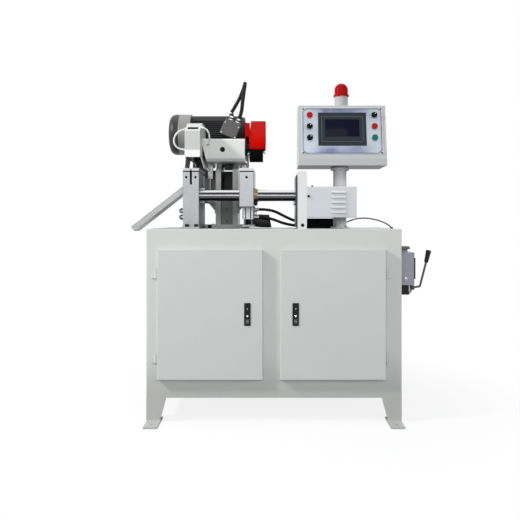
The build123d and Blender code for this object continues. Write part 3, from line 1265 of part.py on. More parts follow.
def hmi():
    """Screen unit: bevelled bezel, recessed screen and the housing behind the cut-out."""
    bezel = face_block(HMI_WIDTH, HMI_HEIGHT, 0, HMI_RISE, FACE_THICKNESS, FACE_THICKNESS + HMI_PROUD)
    front = FACE_THICKNESS + HMI_PROUD
    bezel -= face_block(158.0, 84.0, 0, HMI_RISE + 4, front - 1.2, front + 1)
    groove = face_block(194.0, 120.0, 0, HMI_RISE + 1, front - 0.8, front + 1)
    groove -= face_block(190.0, 116.0, 0, HMI_RISE + 1, front - 2, front + 2)
    bezel -= groove
    return bezel + face_block(HMI_WIDTH - 22, HMI_HEIGHT - 22, 0, HMI_RISE, -32, FACE_THICKNESS + 1)


def push_button(place):
    """A push button with a broad head, free to sink into its bezel."""
    u, v = button_places()[place]
    low = FACE_THICKNESS + BEZEL_FLOOR + BUTTON_TRAVEL + 0.5
    top = FACE_THICKNESS + BEZEL_HEIGHT + BUTTON_TRAVEL
    head = face_disc(BUTTON_HEAD, u, v, low, top)
    head = fillet(head.edges().filter_by(GeomType.CIRCLE).sort_by(Axis.Y)[0], 1.2)
    return head + face_disc(PLUNGER_RADIUS, u, v, -14, low + 1)


def selector(place):
    """A selector switch: a round skirt in its bezel with a raised grip bar, turned to the right at rest."""
    u, v = button_places()[place]
    low = FACE_THICKNESS + BEZEL_FLOOR + SIDE_PLAY
    top = FACE_THICKNESS + BEZEL_HEIGHT + 1.0
    knob = face_disc(BUTTON_HEAD, u, v, low, top) + face_disc(PLUNGER_RADIUS, u, v, -18, low + 1)
    grip = Rot(0, 0, SELECTOR_TURN) * Box(7.0, 2 * BUTTON_HEAD - 2.0, 10.0)
    return knob + on_face(grip, u, v, top + 4.0)


def beacon_base():
    """Socket of the beacon on top of the panel box."""
    top = PANEL_TOP + BEACON_BASE
    base = rod_z(BEACON_RADIUS, PANEL_TOP, top, BEACON_X, POST_Y)
    return base + rod_z(BEACON_RADIUS + 3, PANEL_TOP, PANEL_TOP + 6, BEACON_X, POST_Y)


def beacon_dome():
    """Lens of the beacon: a hollow round-topped dome on a wider rim."""
    low = PANEL_TOP + BEACON_BASE
    round_z = low + BEACON_DOME - BEACON_RADIUS
    dome = rod_z(BEACON_RADIUS, low, round_z, BEACON_X, POST_Y)
    dome += Pos(BEACON_X, POST_Y, round_z) * Sphere(BEACON_RADIUS)
    hollow = rod_z(BEACON_RADIUS - 3, low - 1, round_z, BEACON_X, POST_Y)
    dome -= hollow + Pos(BEACON_X, POST_Y, round_z) * Sphere(BEACON_RADIUS - 3)
    rim = rod_z(BEACON_RADIUS + 5.5, low, low + 8, BEACON_X, POST_Y)
    rim -= rod_z(BEACON_RADIUS - 1, low - 1, low + 9, BEACON_X, POST_Y)
    return dome + rim


def bar(start, end, radius):
    """A round bar between two points."""
    line = Vector(*end) - Vector(*start)
    return extrude(Plane(origin=start, z_dir=line) * Circle(radius), line.length)


def lubricator_housing():
    """Oil tank of the lubricator with its filler cap and the sight plug."""
    right = HALF_WIDTH + LUBE_THICKNESS
    tank = block(HALF_WIDTH, right, LUBE_FRONT, LUBE_REAR, LUBE_BOTTOM, LUBE_TOP)
    tank = fillet(tank.edges().filter_by(Axis.Z).group_by(Axis.X)[-1], 12.0)
    tank = fillet(tank.edges().group_by(Axis.Z)[-1], 3.0)
    middle_y = (LUBE_FRONT + LUBE_REAR) / 2
    tank += rod_y(9.0, LUBE_FRONT - 3, LUBE_FRONT + 1, HALF_WIDTH + 34, LUBE_BOTTOM + 30)
    cap = rod_z(20.0, LUBE_TOP, LUBE_TOP + 17, HALF_WIDTH + 34, middle_y)
    cap += rod_z(26.0, LUBE_TOP + 16, LUBE_TOP + 26, HALF_WIDTH + 34, middle_y)
    return [tank, fillet(cap.edges().group_by(Axis.Z)[-1], 3.0)]


def lubricator_pump():
    """Pump block under the tank with the bore of the lever shaft."""
    right = HALF_WIDTH + LUBE_THICKNESS - 12
    low = LUBE_BOTTOM - 46
    outline = [
        (HALF_WIDTH, LUBE_BOTTOM),
        (right, LUBE_BOTTOM),
        (right, LUBE_BOTTOM - 30),
        (right - 14, low),
        (HALF_WIDTH, low),
    ]
    pump = plate_xz(outline, LUBE_FRONT + 15, LUBE_REAR - 15)
    lever_y = (LUBE_FRONT + LUBE_REAR) / 2
    return pump - rod_x(7.0 + RUNNING, right - 26, right + 1, lever_y, LEVER_Z)


def lubricator_lever():
    """Hand lever: hub, bent arm and grip, turning on a shaft in the pump block."""
    right = HALF_WIDTH + LUBE_THICKNESS - 12
    y = (LUBE_FRONT + LUBE_REAR) / 2
    lever = rod_x(7.0, right - 24, right + 12, y, LEVER_Z)
    lever += rod_x(11.0, right + SIDE_PLAY, right + 20, y, LEVER_Z)
    bend = (right + 48, y, LEVER_Z + 6)
    top = (right + 77, y, LEVER_Z + 118)
    end = (right + 90, y, LEVER_Z + 176)
    lever += bar((right + 14, y, LEVER_Z), bend, LEVER_RADIUS)
    lever += Pos(*bend) * Sphere(LEVER_RADIUS)
    lever += bar(bend, top, LEVER_RADIUS)
    line = Vector(*end) - Vector(*top)
    grip = Plane(origin=top, z_dir=line) * Pos(0, 0, line.length / 2) * Cone(9.3, 12.6, line.length)
    return lever + fillet(grip.edges().filter_by(GeomType.CIRCLE), 3.5)


def discharge_chute():
    """Sheet chute from the vise down over the left edge of the table."""
    half = CHUTE_WIDTH / 2
    trough = block(-CHUTE_LENGTH, 4, -half, half, 0, CHUTE_SHEET)
    for y0 in (-half, half - CHUTE_SHEET):
        trough += block(-CHUTE_LENGTH, 0, y0, y0 + CHUTE_SHEET, 0, CHUTE_WALL)
    vise_left = VISE_X - VISE_WIDTH / 2
    drop = CHUTE_TOP_Z - TABLE_HEIGHT - CHUTE_EDGE_RISE
    slope = math.degrees(math.atan2(drop, HALF_WIDTH + vise_left - 3))
    trough = trough.rotate(Axis.Y, -slope).moved(Location((vise_left - 3, WORK_Y, CHUTE_TOP_Z)))
    trough -= block(vise_left, vise_left + 50, -400, 200, CHUTE_TOP_Z - 60, CHUTE_TOP_Z + 60)
    flange = block(vise_left - 3, vise_left, WORK_Y - half, WORK_Y + half, CHUTE_TOP_Z - 38, CHUTE_TOP_Z + 4)
    return trough + flange


TERMINAL_MIDDLE = (-219.0, MOTOR_Y - MOTOR_FINS - 3.0, MOTOR_Z + 2.0)
TERMINAL_TURN = 22.0


def above_table(points):
    """Points whose heights are given over the table, in the part's frame."""
    return [(x, y, TABLE_HEIGHT + z) for x, y, z in points]


CABLE_START = above_table([(309.0, -50.0, 20.0)])[0]
CABLE_PATH = [CABLE_START] + above_table(
    [
        (340.0, -50.0, 20.0),
        (385.0, -66.0, 42.0),
        (432.0, -86.0, 51.0),
        (485.0, -110.0, 45.0),
        (528.0, -130.0, 30.0),
        (553.0, -139.0, 16.0),
        (566.0, -142.0, 2.3),
    ]
)
CABLE_DIAMETER = 7.0

HOSE_PORT_X = CARRIAGE_X + GRIPPER_SIZE / 2 + FITTING_LENGTH
HOSE_UPPER = [(HOSE_PORT_X, WORK_Y, CARRIAGE_BOTTOM - FITTING_INSET)] + above_table(
    [
        (-44.0, -80.0, 92.0),
        (0.0, -76.0, 85.0),
        (45.0, -66.0, 62.0),
        (95.0, -52.0, 38.0),
        (130.0, -44.0, 32.0),
        (151.0, -44.0, 32.0),
    ]
)
HOSE_LOWER = [(HOSE_PORT_X, WORK_Y, GRIPPER_BOTTOM + FITTING_INSET)] + above_table(
    [
        (-44.0, -80.0, 54.0),
        (0.0, -78.0, 42.0),
        (48.0, -72.0, 23.0),
        (100.0, -64.0, 13.0),
        (132.0, -62.0, 12.0),
        (151.0, -62.0, 12.0),
    ]
)
HOSE_DIAMETER = 14.0

CONDUIT_PATH = above_table(
    [
        (-175.2, 0.0, 548.3),
        (-163.0, 0.0, 578.5),
        (-158.0, -6.0, 630.0),
        (-151.0, 4.0, 690.0),
        (-147.0, 36.0, 736.0),
        (-150.0, 88.0, 738.0),
        (-165.0, 124.0, 706.0),
        (-186.0, 131.0, 660.0),
        (-222.0, 135.0, 601.3),
    ]
)
CONDUIT_DIAMETER = 20.0
CONDUIT_SEAT = 5.3

COOLANT_PATH = above_table(
    [
        (-418.3, -190.0, 470.0),
        (-440.0, -190.0, 468.0),
        (-466.0, -190.0, 448.0),
        (-477.0, -190.0, 418.0),
        (-468.0, -190.0, 390.0),
        (-444.0, -190.0, 374.0),
        (-418.3, -190.0, 373.0),
    ]
)
COOLANT_RETURN = above_table(
    [
        (-345.7, -172.0, 480.0),
        (-328.0, -172.0, 478.0),
        (-312.0, -174.0, 460.0),
        (-307.0, -173.0, 433.0),
        (-311.0, -162.0, 413.0),
        (-316.0, -143.5, 402.0),
    ]
)
COOLANT_DIAMETER = 8.0


def bend_radii(points):
    """The bend radius at each inner point of a path."""
    radii = []
    for before, here, after in zip(points, points[1:], points[2:]):
        first = Vector(*here) - Vector(*before)
        second = Vector(*after) - Vector(*here)
        turn = math.radians(first.get_angle(second))
        radii.append(0.45 * min(first.length, second.length) / math.tan(turn / 2))
    return radii


def cord(points, diameter):
    """A cord along straight runs joined by tangent arcs."""
    path = FilletPolyline(*points, radius=bend_radii(points))
    start = Plane(origin=path @ 0, z_dir=path % 0)
    return sweep(start * Circle(diameter / 2), path=path)


BUILDERS = {
    "cabinet_shell": cabinet_shell,
    "legs": legs,
    "left_door": lambda: door(LEFT_DOOR_X, -1),
    "left_latch": lambda: latch(LEFT_DOOR_X, -1),
    "left_latch_handle": lambda: latch_handle(LEFT_DOOR_X, -1),
    "right_door": lambda: door(RIGHT_DOOR_X, 1),
    "right_latch": lambda: latch(RIGHT_DOOR_X, 1),
    "right_latch_handle": lambda: latch_handle(RIGHT_DOOR_X, 1),
    "electrical_plate": electrical_plate,
    "coolant_unit": coolant_unit,
    "vise_body": vise_body,
    "vise_caps": vise_caps,
    "vise_jaw": vise_jaw,
    "guide_rods": guide_rods,
    "carriage_body": carriage_body,
    "carriage_cap": carriage_cap,
    "rod_bushes": rod_bushes,
    "gripper_cylinder": gripper_cylinder,
    "gripper_jaw": gripper_jaw,
    "ball_screw": ball_screw,
    "end_plate": end_plate,
    "servo_motor": servo_motor,
    "servo_cover": servo_cover,
    "cable_box": cable_box,
    "saw_column": saw_column,
    "pivot_shaft": pivot_shaft,
    "gear_case": gear_case,
    "spindle": spindle,
    "saw_blade": saw_blade,
    "input_shaft": input_shaft,
    "motor_rotor": motor_rotor,
    "drive_belt": drive_belt,
    "belt_guard": belt_guard,
    "motor_plate": motor_plate,
    "feed_cylinders": lambda: [feed_cylinder(*pair) for pair in zip(FEED_LINES, COLUMN_SIDES)],
    "feed_rods": lambda: [feed_rod(feed_x) for feed_x in FEED_LINES],
    "motor_frame": motor_frame,
    "motor_cowl": motor_cowl,
    "terminal_box": terminal_box,
    "blade_guard": blade_guard,
    "panel_post": panel_post,
    "panel_box": panel_box,
    "panel_faceplate": panel_faceplate,
    "hmi": hmi,
    "left_red_button": lambda: push_button(0),
    "left_upper_selector": lambda: selector(1),
    "left_lower_selector": lambda: selector(2),
    "right_selector": lambda: selector(3),
    "right_red_button": lambda: push_button(4),
    "green_button": lambda: push_button(5),
    "beacon_base": beacon_base,
    "beacon_dome": beacon_dome,
    "lubricator_housing": lubricator_housing,
    "lubricator_pump": lubricator_pump,
    "lubricator_lever": lubricator_lever,
    "discharge_chute": discharge_chute,
    "conduit_loop": lambda: cord(CONDUIT_PATH, CONDUIT_DIAMETER),
    "coolant_hose": lambda: [cord(COOLANT_PATH, COOLANT_DIAMETER), cord(COOLANT_RETURN, COOLANT_DIAMETER)],
    "panel_cable": lambda: cord(CABLE_PATH, CABLE_DIAMETER),
    "carriage_hose": lambda: [cord(HOSE_UPPER, HOSE_DIAMETER), cord(HOSE_LOWER, HOSE_DIAMETER)],
}

os.makedirs("parts", exist_ok=True)
for piece_name, build in BUILDERS.items():
    made = build()
    node(piece_name, *(made if isinstance(made, list) else [made]))
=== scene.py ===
"""Looks of an automatic circular saw: finishes, fasteners, hoses, camera and light around its frame."""

import logging
import math
from dataclasses import dataclass
from enum import Enum
from typing import Iterable, Optional, Sequence, Union

import bmesh
import bpy
from mathutils import Matrix, Vector


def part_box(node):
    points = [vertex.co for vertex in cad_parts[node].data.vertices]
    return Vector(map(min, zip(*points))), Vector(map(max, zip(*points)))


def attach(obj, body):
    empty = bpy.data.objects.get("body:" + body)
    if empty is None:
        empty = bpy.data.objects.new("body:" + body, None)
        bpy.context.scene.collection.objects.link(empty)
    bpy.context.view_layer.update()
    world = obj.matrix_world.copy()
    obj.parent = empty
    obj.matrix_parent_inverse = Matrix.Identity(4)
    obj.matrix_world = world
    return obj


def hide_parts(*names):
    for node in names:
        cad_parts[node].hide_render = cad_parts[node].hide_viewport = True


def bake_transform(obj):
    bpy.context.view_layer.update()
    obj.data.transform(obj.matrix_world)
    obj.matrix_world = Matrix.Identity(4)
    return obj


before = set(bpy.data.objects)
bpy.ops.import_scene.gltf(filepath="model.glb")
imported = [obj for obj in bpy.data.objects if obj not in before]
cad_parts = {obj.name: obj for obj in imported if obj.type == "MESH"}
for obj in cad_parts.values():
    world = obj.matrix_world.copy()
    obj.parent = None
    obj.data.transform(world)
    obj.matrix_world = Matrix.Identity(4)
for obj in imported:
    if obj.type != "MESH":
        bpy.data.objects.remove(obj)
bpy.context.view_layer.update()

MM = 0.001
SEEING_RAYS = ("Is Camera Ray", "Is Glossy Ray", "Is Transmission Ray")
log = logging.getLogger("saw")

# How finely looks and shapes are made.
NOISE_ROUGHNESS = 0.55
BEVEL_SAMPLES = 6
EDGE_GAIN = 4.0
EASE_SEGMENTS = 2
SHARP_ANGLE = math.radians(35.0)
PLATE_EDGE = 1.2
FRAME_EDGE = 0.25
THREAD_STEPS = 24
HOSE_STEPS = 16
HOSE_ROUND = 5

# Looks that several finishes share, and how far the operator panel leans back.
WHITE = (1.0, 1.0, 1.0, 1.0)
BARE_EDGE = (236, 236, 234)
JOINT_SHADOW = (16, 16, 15)
SEAM_SHADOW = (34, 34, 36)
ACRYLIC_IOR = 1.49
PANEL_SLOPE = math.atan2(55.0, 253.0)

# The form of a screw's head: how many sides it has, then shares of its radius or height.
HEAD_SIDES = 24
HEAD_RIM = 0.12
HEAD_WALL = 0.32
SOCKET_FLAT = 0.5
SOCKET_DRAFT = 0.03
SOCKET_DEPTH = 0.5
HEXAGON_EDGE = 0.08
WASHER_REACH = 1.25
WASHER_HEIGHT = 0.22

# The form of a ribbed hose, in millimetres, and half a rib's width as a share of the pitch.
RIB_HEIGHT = 1.4
RIB_ROOT = 2.0
RIB_SHOULDER = 0.2
RIB_SHARE = 0.36

Point = tuple[float, float, float]
Pair = tuple[float, float]
Outline = Sequence[Pair]
Colour = tuple[float, float, float]
# The radius and height of the head of a screw, a bolt or a nut.
Head = tuple[float, float]


def linear(colour: Colour) -> tuple[float, float, float, float]:
    """Turns an 8-bit screen colour into the linear colour that a shader takes.

    Args:
        colour: Red, green and blue from 0 to 255.

    Returns:
        Linear red, green, blue and an alpha of 1.
    """
    parts = []
    for channel in colour:
        value = channel / 255.0
        parts.append(value / 12.92 if value <= 0.04045 else ((value + 0.055) / 1.055) ** 2.4)
    return (parts[0], parts[1], parts[2], 1.0)


def metres(point: Sequence[float]) -> Vector:
    """A point given in millimetres, in metres."""
    return Vector(point) * MM


def put(name: str, data: bpy.types.ID) -> bpy.types.Object:
    """Puts data into the scene as an object.

    Args:
        name: The object's name.
        data: Its mesh, lamp or camera.

    Returns:
        The object.
    """
    made = bpy.data.objects.new(name, data)
    bpy.context.scene.collection.objects.link(made)
    return made


class Axis(Enum):
    """The direction that a grain, a screw or a shaft follows."""

    X = (1.0, 0.0, 0.0)
    Y = (0.0, 1.0, 0.0)
    Z = (0.0, 0.0, 1.0)
    FRONT = (0.0, -1.0, 0.0)
    LEFT = (-1.0, 0.0, 0.0)
    DOWN = (0.0, 0.0, -1.0)

    @property
    def vector(self) -> Vector:
        """The direction as a vector."""
        return Vector(self.value)


class Pattern(Enum):
    """Noise patterns: lumps to a metre, and how many finer layers they have."""

    TONE_DRIFT = (3.5, 2.0)
    SOIL = (55.0, 6.0)
    CHIPS = (240.0, 4.0)
    GLOSS_CLOUD = (18.0, 4.0)
    ORANGE_PEEL = (700.0, 1.5)
    SCUFFS = (9.0, 5.0)
    DIRT = (14.0, 4.0)
    SECOND_COAT = (40.0, 4.0)
    SAND = (420.0, 3.0)
    CAST_LUMPS = (90.0, 3.0)
    CAST_CLOUD = (30.0, 4.0)
    FINE_MARKS = (900.0, 3.0)
    COARSE_MARKS = (160.0, 3.0)
    OIL = (26.0, 5.0)
    OIL_EDGE = (9.0, 3.0)
    OIL_STREAKS = (150.0, 4.0)
    DUST = (35.0, 5.0)
    LENS_FILM = (60.0, 4.0)
    PLATE_CLOUD = (11.0, 3.0)
    FLOOR = (1.5, 3.0)


Aim = Union[Axis, Sequence[float]]


class Wire:
    """An output socket that takes part in arithmetic."""

    def __init__(self, graph: "Graph", socket: Optional[bpy.types.NodeSocket]) -> None:
        """Keeps the socket and the graph that it belongs to."""
        self.graph = graph
        self.socket = socket

    def __add__(self, other: "Value") -> "Wire":
        """The sum."""
        return self.graph.maths("ADD", self, other)

    __radd__ = __add__

    def __sub__(self, other: "Value") -> "Wire":
        """The difference."""
        return self.graph.maths("SUBTRACT", self, other)

    def __rsub__(self, other: "Value") -> "Wire":
        """The difference, taken from a number."""
        return self.graph.maths("SUBTRACT", other, self)

    def __mul__(self, other: "Value") -> "Wire":
        """The product."""
        return self.graph.maths("MULTIPLY", self, other)

    __rmul__ = __mul__

    def __pow__(self, other: "Value") -> "Wire":
        """The power."""
        return self.graph.maths("POWER", self, other)

    def __gt__(self, other: "Value") -> "Wire":
        """1 where this is the larger, else 0."""
        return self.graph.maths("GREATER_THAN", self, other)

    def __lt__(self, other: "Value") -> "Wire":
        """1 where this is the smaller, else 0."""
        return self.graph.maths("LESS_THAN", self, other)

    def __abs__(self) -> "Wire":
        """The size without its sign."""
        return self.graph.maths("ABSOLUTE", self)

    def smooth(self, low: float, high: float) -> "Wire":
        """A smooth step from 0 at low to 1 at high."""
        sockets = {"Value": self, "From Min": low, "From Max": high}
        return self.graph.node("ShaderNodeMapRange", {"interpolation_type": "SMOOTHSTEP"}, sockets)


Value = Union[Wire, float]
Tint = Union[Wire, tuple]


class Graph:
    """The node tree of a material or of the world."""

    def __init__(self, owner: Union[bpy.types.Material, bpy.types.World]) -> None:
        """Starts the owner's tree afresh.

        Args:
            owner: The material or the world.
        """
        self.owner = owner
        owner.use_nodes = True
        self.tree = owner.node_tree
        self.tree.nodes.clear()

    def node(
        self,
        kind: str,
        settings: Optional[dict] = None,
        sockets: Optional[dict] = None,
        out: Union[int, str] = 0,
    ) -> Wire:
        """Adds a node.

        Args:
            kind: The node's type.
            settings: Properties, which are set first.
            sockets: Numbers, colours or wires for its inputs, by name or index.
            out: The output to go on from.

        Returns:
            The chosen output as a wire.
        """
        made = self.tree.nodes.new(kind)
        for name, value in (settings or {}).items():
            setattr(made, name, value)
        for key, value in (sockets or {}).items():
            if isinstance(value, Wire):
                self.tree.links.new(value.socket, made.inputs[key])
            else:
                made.inputs[key].default_value = value
        return Wire(self, made.outputs[out] if made.outputs else None)

    def place(self) -> Wire:
        """The point on the piece, in metres."""
        return self.node("ShaderNodeTexCoord", out="Object")

    def parts(self) -> tuple[Wire, Wire, Wire]:
        """The three coordinates of the point on the piece."""
        vector = self.place()
        return tuple(self.node("ShaderNodeSeparateXYZ", None, {0: vector}, out=k) for k in range(3))

    def dot(self, first: Wire, second: Union[Wire, Point]) -> Wire:
        """How far two directions agree, from -1 to 1."""
        sockets = {0: first, 1: second}
        return self.node("ShaderNodeVectorMath", {"operation": "DOT_PRODUCT"}, sockets, "Value")

    def normal(self) -> Wire:
        """The direction that the surface faces."""
        return self.node("ShaderNodeNewGeometry", out="Normal")

    def facing(self, axis: Axis) -> Wire:
        """How far the surface faces along an axis, from -1 to 1."""
        return self.dot(self.normal(), axis.value)

    def noise(self, pattern: Union[Pattern, Pair], stretch: Point = (1.0, 1.0, 1.0)) -> Wire:
        """Noise from 0 to 1 in the piece's own space.

        Args:
            pattern: The pattern, or its lumps to a metre and its finer layers.
            stretch: Factors that stretch or squeeze it along each axis.

        Returns:
            The noise value.
        """
        scale, detail = pattern.value if isinstance(pattern, Pattern) else pattern
        vector = self.node("ShaderNodeMapping", None, {"Vector": self.place(), "Scale": stretch})
        sockets = {"Vector": vector, "Scale": scale, "Detail": detail, "Roughness": NOISE_ROUGHNESS}
        return self.node("ShaderNodeTexNoise", None, sockets, out="Fac")

    def stray(self, pattern: Pattern, amount: float) -> Wire:
        """A value that wanders about 0 by an amount."""
        return (self.noise(pattern) - 0.5) * amount

    def shade(self, colour: Tint, amount: Wire) -> Wire:
        """A colour made lighter or darker by a factor."""
        plain = colour if isinstance(colour, Wire) else tuple(colour[:3])
        sockets = {0: plain, "Scale": amount}
        return self.node("ShaderNodeVectorMath", {"operation": "SCALE"}, sockets, "Vector")

    def mix(self, factor: Wire, first: Tint, second: Tint) -> Wire:
        """The first colour where the factor is 0 and the second where it is 1."""
        settings = {"data_type": "RGBA", "clamp_factor": True}
        return self.node("ShaderNodeMix", settings, {0: factor, 6: first, 7: second}, out=2)

    def maths(self, operation: str, first: Value, second: Value = 0.0) -> Wire:
        """One Math node on two values."""
        return self.node("ShaderNodeMath", {"operation": operation}, {0: first, 1: second})

    def most(self, first: Value, second: Value) -> Wire:
        """The larger of two values."""
        return self.maths("MAXIMUM", first, second)

    def seen(self) -> Wire:
        """1 for rays from the camera, whether straight, mirrored or through glass, else 0."""
        rays = [self.node("ShaderNodeLightPath", out=name) for name in SEEING_RAYS]
        return self.most(self.most(rays[0], rays[1]), rays[2])

    def rounded(self, radius: float) -> Wire:
        """The surface direction with every edge eased by a radius in millimetres."""
        return self.node("ShaderNodeBevel", {"samples": BEVEL_SAMPLES}, {"Radius": radius * MM}, out="Normal")

    def edges(self, radius: float) -> Wire:
        """A mask of the piece's edges, from 0 on the flats to 1 on a sharp edge."""
        return (1.0 - self.dot(self.rounded(radius), self.normal())) * EDGE_GAIN

    def bump(self, height: Wire, depth: float, strength: float, ease: float = 0.0) -> Wire:
        """A surface direction with relief.

        Args:
            height: The relief, from 0 to 1.
            depth: Its depth in millimetres.
            strength: How much of it shows.
            ease: The radius that eases the piece's edges, in millimetres.

        Returns:
            The direction for a shader's Normal socket.
        """
        sockets = {"Height": height, "Distance": depth * MM, "Strength": strength}
        if ease:
            sockets["Normal"] = self.rounded(ease)
        return self.node("ShaderNodeBump", None, sockets)

    def surface(self, colour: Wire, rough: Wire, normal: Wire, others: dict) -> bpy.types.Material:
        """Ends the graph in a principled shader.

        Args:
            colour: Its base colour.
            rough: Its roughness.
            normal: The surface direction with its relief.
            others: Values or wires for other sockets, by name.

        Returns:
            The finished material.
        """
        sockets = {"Base Color": colour, "Roughness": rough, "Normal": normal, **others}
        shader = self.node("ShaderNodeBsdfPrincipled", None, sockets)
        self.node("ShaderNodeOutputMaterial", None, {"Surface": shader})
        return self.owner


@dataclass(frozen=True)
class Finish:
    """What every finish has: a name, a colour on screen and how rough it is."""

    name: str
    colour: Colour
    roughness: float = 0.4

    def material(self) -> bpy.types.Material:
        """The finish as a material, made once."""
        made = bpy.data.materials.get(self.name)
        return made or self.make(Graph(bpy.data.materials.new(self.name)))

    def make(self, graph: Graph) -> bpy.types.Material:
        """Builds the material; each kind of finish has its own way."""
        raise NotImplementedError


@dataclass(frozen=True)
class Paint(Finish):
    """Sprayed or powder-coated metal with a faint orange peel and soft wear on its edges.

    Attributes:
        peel: How much of the orange peel shows.
        mottle: How far its tone wanders.
        worn: The colour that its edges wear to, or None.
        ease: The radius of its edges in millimetres.
        gloss: How strongly it mirrors, where 0.5 is a common plastic.
    """

    peel: float = 0.12
    mottle: float = 0.05
    worn: Optional[Colour] = None
    ease: float = 1.2
    gloss: float = 0.22

    def tone(self, graph: Graph) -> Wire:
        """The paint's colour with its wandering tone and worn edges.

        Args:
            graph: The material's graph.

        Returns:
            The colour.
        """
        drift = graph.stray(Pattern.TONE_DRIFT, self.mottle)
        soil = graph.stray(Pattern.SOIL, self.mottle * 0.5)
        colour = graph.shade(linear(self.colour), 1.0 + drift + soil)
        if self.worn is None:
            return colour
        chips = graph.noise(Pattern.CHIPS).smooth(0.5, 0.68)
        return graph.mix(graph.edges(self.ease) * chips, colour, linear(self.worn))

    def haze(self, graph: Graph) -> Wire:
        """How far its gloss wanders."""
        return graph.stray(Pattern.GLOSS_CLOUD, 0.14)

    def relief(self, graph: Graph) -> Wire:
        """The orange peel and the eased edges."""
        return graph.bump(graph.noise(Pattern.ORANGE_PEEL), 0.12, self.peel, self.ease)

    def make(self, graph: Graph) -> bpy.types.Material:
        """Builds the paint."""
        rough = self.roughness + self.haze(graph)
        return graph.surface(self.tone(graph), rough, self.relief(graph), {"Specular IOR Level": self.gloss})


@dataclass(frozen=True)
class TablePaint(Paint):
    """Cabinet paint with painted shade: its table top is painted darker in patches, and it is painted darker
    towards its foot.

    Attributes:
        table: The height of the table top in millimetres.
        shaded_top: The colour of the painted shade on the table top.
        painted_light_ramp: The heights in millimetres over which the painted shade towards the foot fades
            out.
    """

    table: float = 870.0
    shaded_top: Colour = (150, 152, 151)
    painted_light_ramp: Pair = (130.0, 330.0)

    def tone(self, graph: Graph) -> Wire:
        """The paint's colour, with painted shade on the table top and towards the foot.

        Args:
            graph: The material's graph.

        Returns:
            The colour.
        """
        height = graph.parts()[2]
        # Painted shade on the table top, in random patches.
        top = graph.facing(Axis.Z).smooth(0.8, 0.95) * (height > (self.table - 1.0) * MM)
        patches = 0.62 + graph.noise(Pattern.SCUFFS) * 0.5
        # Painted shade, darker towards the foot.
        painted_height_light = height.smooth(self.painted_light_ramp[0] * MM, self.painted_light_ramp[1] * MM) * 0.22 + 0.78
        side = graph.shade(Paint.tone(self, graph), painted_height_light)
        return graph.mix(top * patches, side, linear(self.shaded_top))


@dataclass(frozen=True)
class ShadedPaint(Paint):
    """Paint whose undersides are painted dark: painted shade.

    Attributes:
        underside_shade: The colour of the painted shade on the undersides.
    """

    underside_shade: Colour = (84, 80, 76)

    def tone(self, graph: Graph) -> Wire:
        """The paint's colour, with painted shade where it faces down."""
        # Painted shade on the undersides, patchy.
        under = graph.facing(Axis.DOWN).smooth(0.25, 0.5) * (0.8 + graph.noise(Pattern.DIRT) * 0.3)
        return graph.mix(under, Paint.tone(self, graph), linear(self.underside_shade))


@dataclass(frozen=True)
class TwoTonePaint(Paint):
    """Paint that changes colour at a line across the piece, where a part of another colour begins; on the end
    plate the dark side is painted shade.

    Attributes:
        below: The colour before the line.
        line: The place of the line along the axis in millimetres.
        axis: The axis that the line is measured along.
        seam: The width of a dark seam on the line, in millimetres.
        front: Whether only what faces the front changes colour.
    """

    below: Colour = (20, 20, 22)
    line: float = 1254.0
    axis: Axis = Axis.Z
    seam: float = 0.0
    front: bool = False

    def tone(self, graph: Graph) -> Wire:
        """The two colours, split at the line.

        Args:
            graph: The material's graph.

        Returns:
            The colour.
        """
        reach = graph.parts()["XYZ".index(self.axis.name)] - self.line * MM
        other = graph.shade(linear(self.below), 0.95 + graph.noise(Pattern.SECOND_COAT) * 0.1)
        past = reach > 0.0
        if self.front:
            past = graph.most(past, 1.0 - graph.facing(Axis.FRONT).smooth(0.3, 0.6))
        both = graph.mix(past, other, Paint.tone(self, graph))
        if not self.seam:
            return both
        return graph.mix(abs(reach) < self.seam / 2 * MM, both, linear(SEAM_SHADOW))


@dataclass(frozen=True)
class CastPaint(Paint):
    """Thick enamel over a sand casting.

    Attributes:
        grit: The depth of the casting's skin in millimetres.
    """

    grit: float = 0.35

    def haze(self, graph: Graph) -> Wire:
        """How far its gloss wanders."""
        return graph.stray(Pattern.CAST_CLOUD, 0.18)

    def relief(self, graph: Graph) -> Wire:
        """The casting's rough skin and the eased edges."""
        skin = graph.noise(Pattern.SAND) * 0.7 + graph.noise(Pattern.CAST_LUMPS) * 0.3
        return graph.bump(skin, self.grit, 0.28, self.ease)


@dataclass(frozen=True)
class TwoToneCast(CastPaint, TwoTonePaint):
    """Enamel over a casting, in two colours."""


@dataclass(frozen=True)
class ColumnPaint(CastPaint):
    """Column enamel painted dark in the hollow between the cheeks: painted shade.

    Attributes:
        cheeks: The inner faces of the cheeks along X, in millimetres.
        mouth: Where the hollow's mouth starts and ends along Y, in millimetres.
        depths: Where its depths start and end along Y, in millimetres.
        hollow_shade: How dark the painted shade in the hollow is.
    """

    cheeks: Pair = (-266.5, -206.5)
    mouth: Pair = (-4.0, 14.0)
    depths: Pair = (30.0, 90.0)
    hollow_shade: float = 0.9

    def tone(self, graph: Graph) -> Wire:
        """The enamel's colour, with painted shade inside the hollow.

        Args:
            graph: The material's graph.

        Returns:
            The colour.
        """
        x, y, _ = graph.parts()
        inside = (x > self.cheeks[0] * MM) * (x < self.cheeks[1] * MM)
        mouth = y.smooth(self.mouth[0] * MM, self.mouth[1] * MM)
        depths = y.smooth(self.depths[0] * MM, self.depths[1] * MM)
        # Painted shade in the hollow, deeper towards the back.
        dark = inside * (mouth * 0.7 + depths * 0.3) * self.hollow_shade
        return graph.shade(Paint.tone(self, graph), 1.0 - dark)


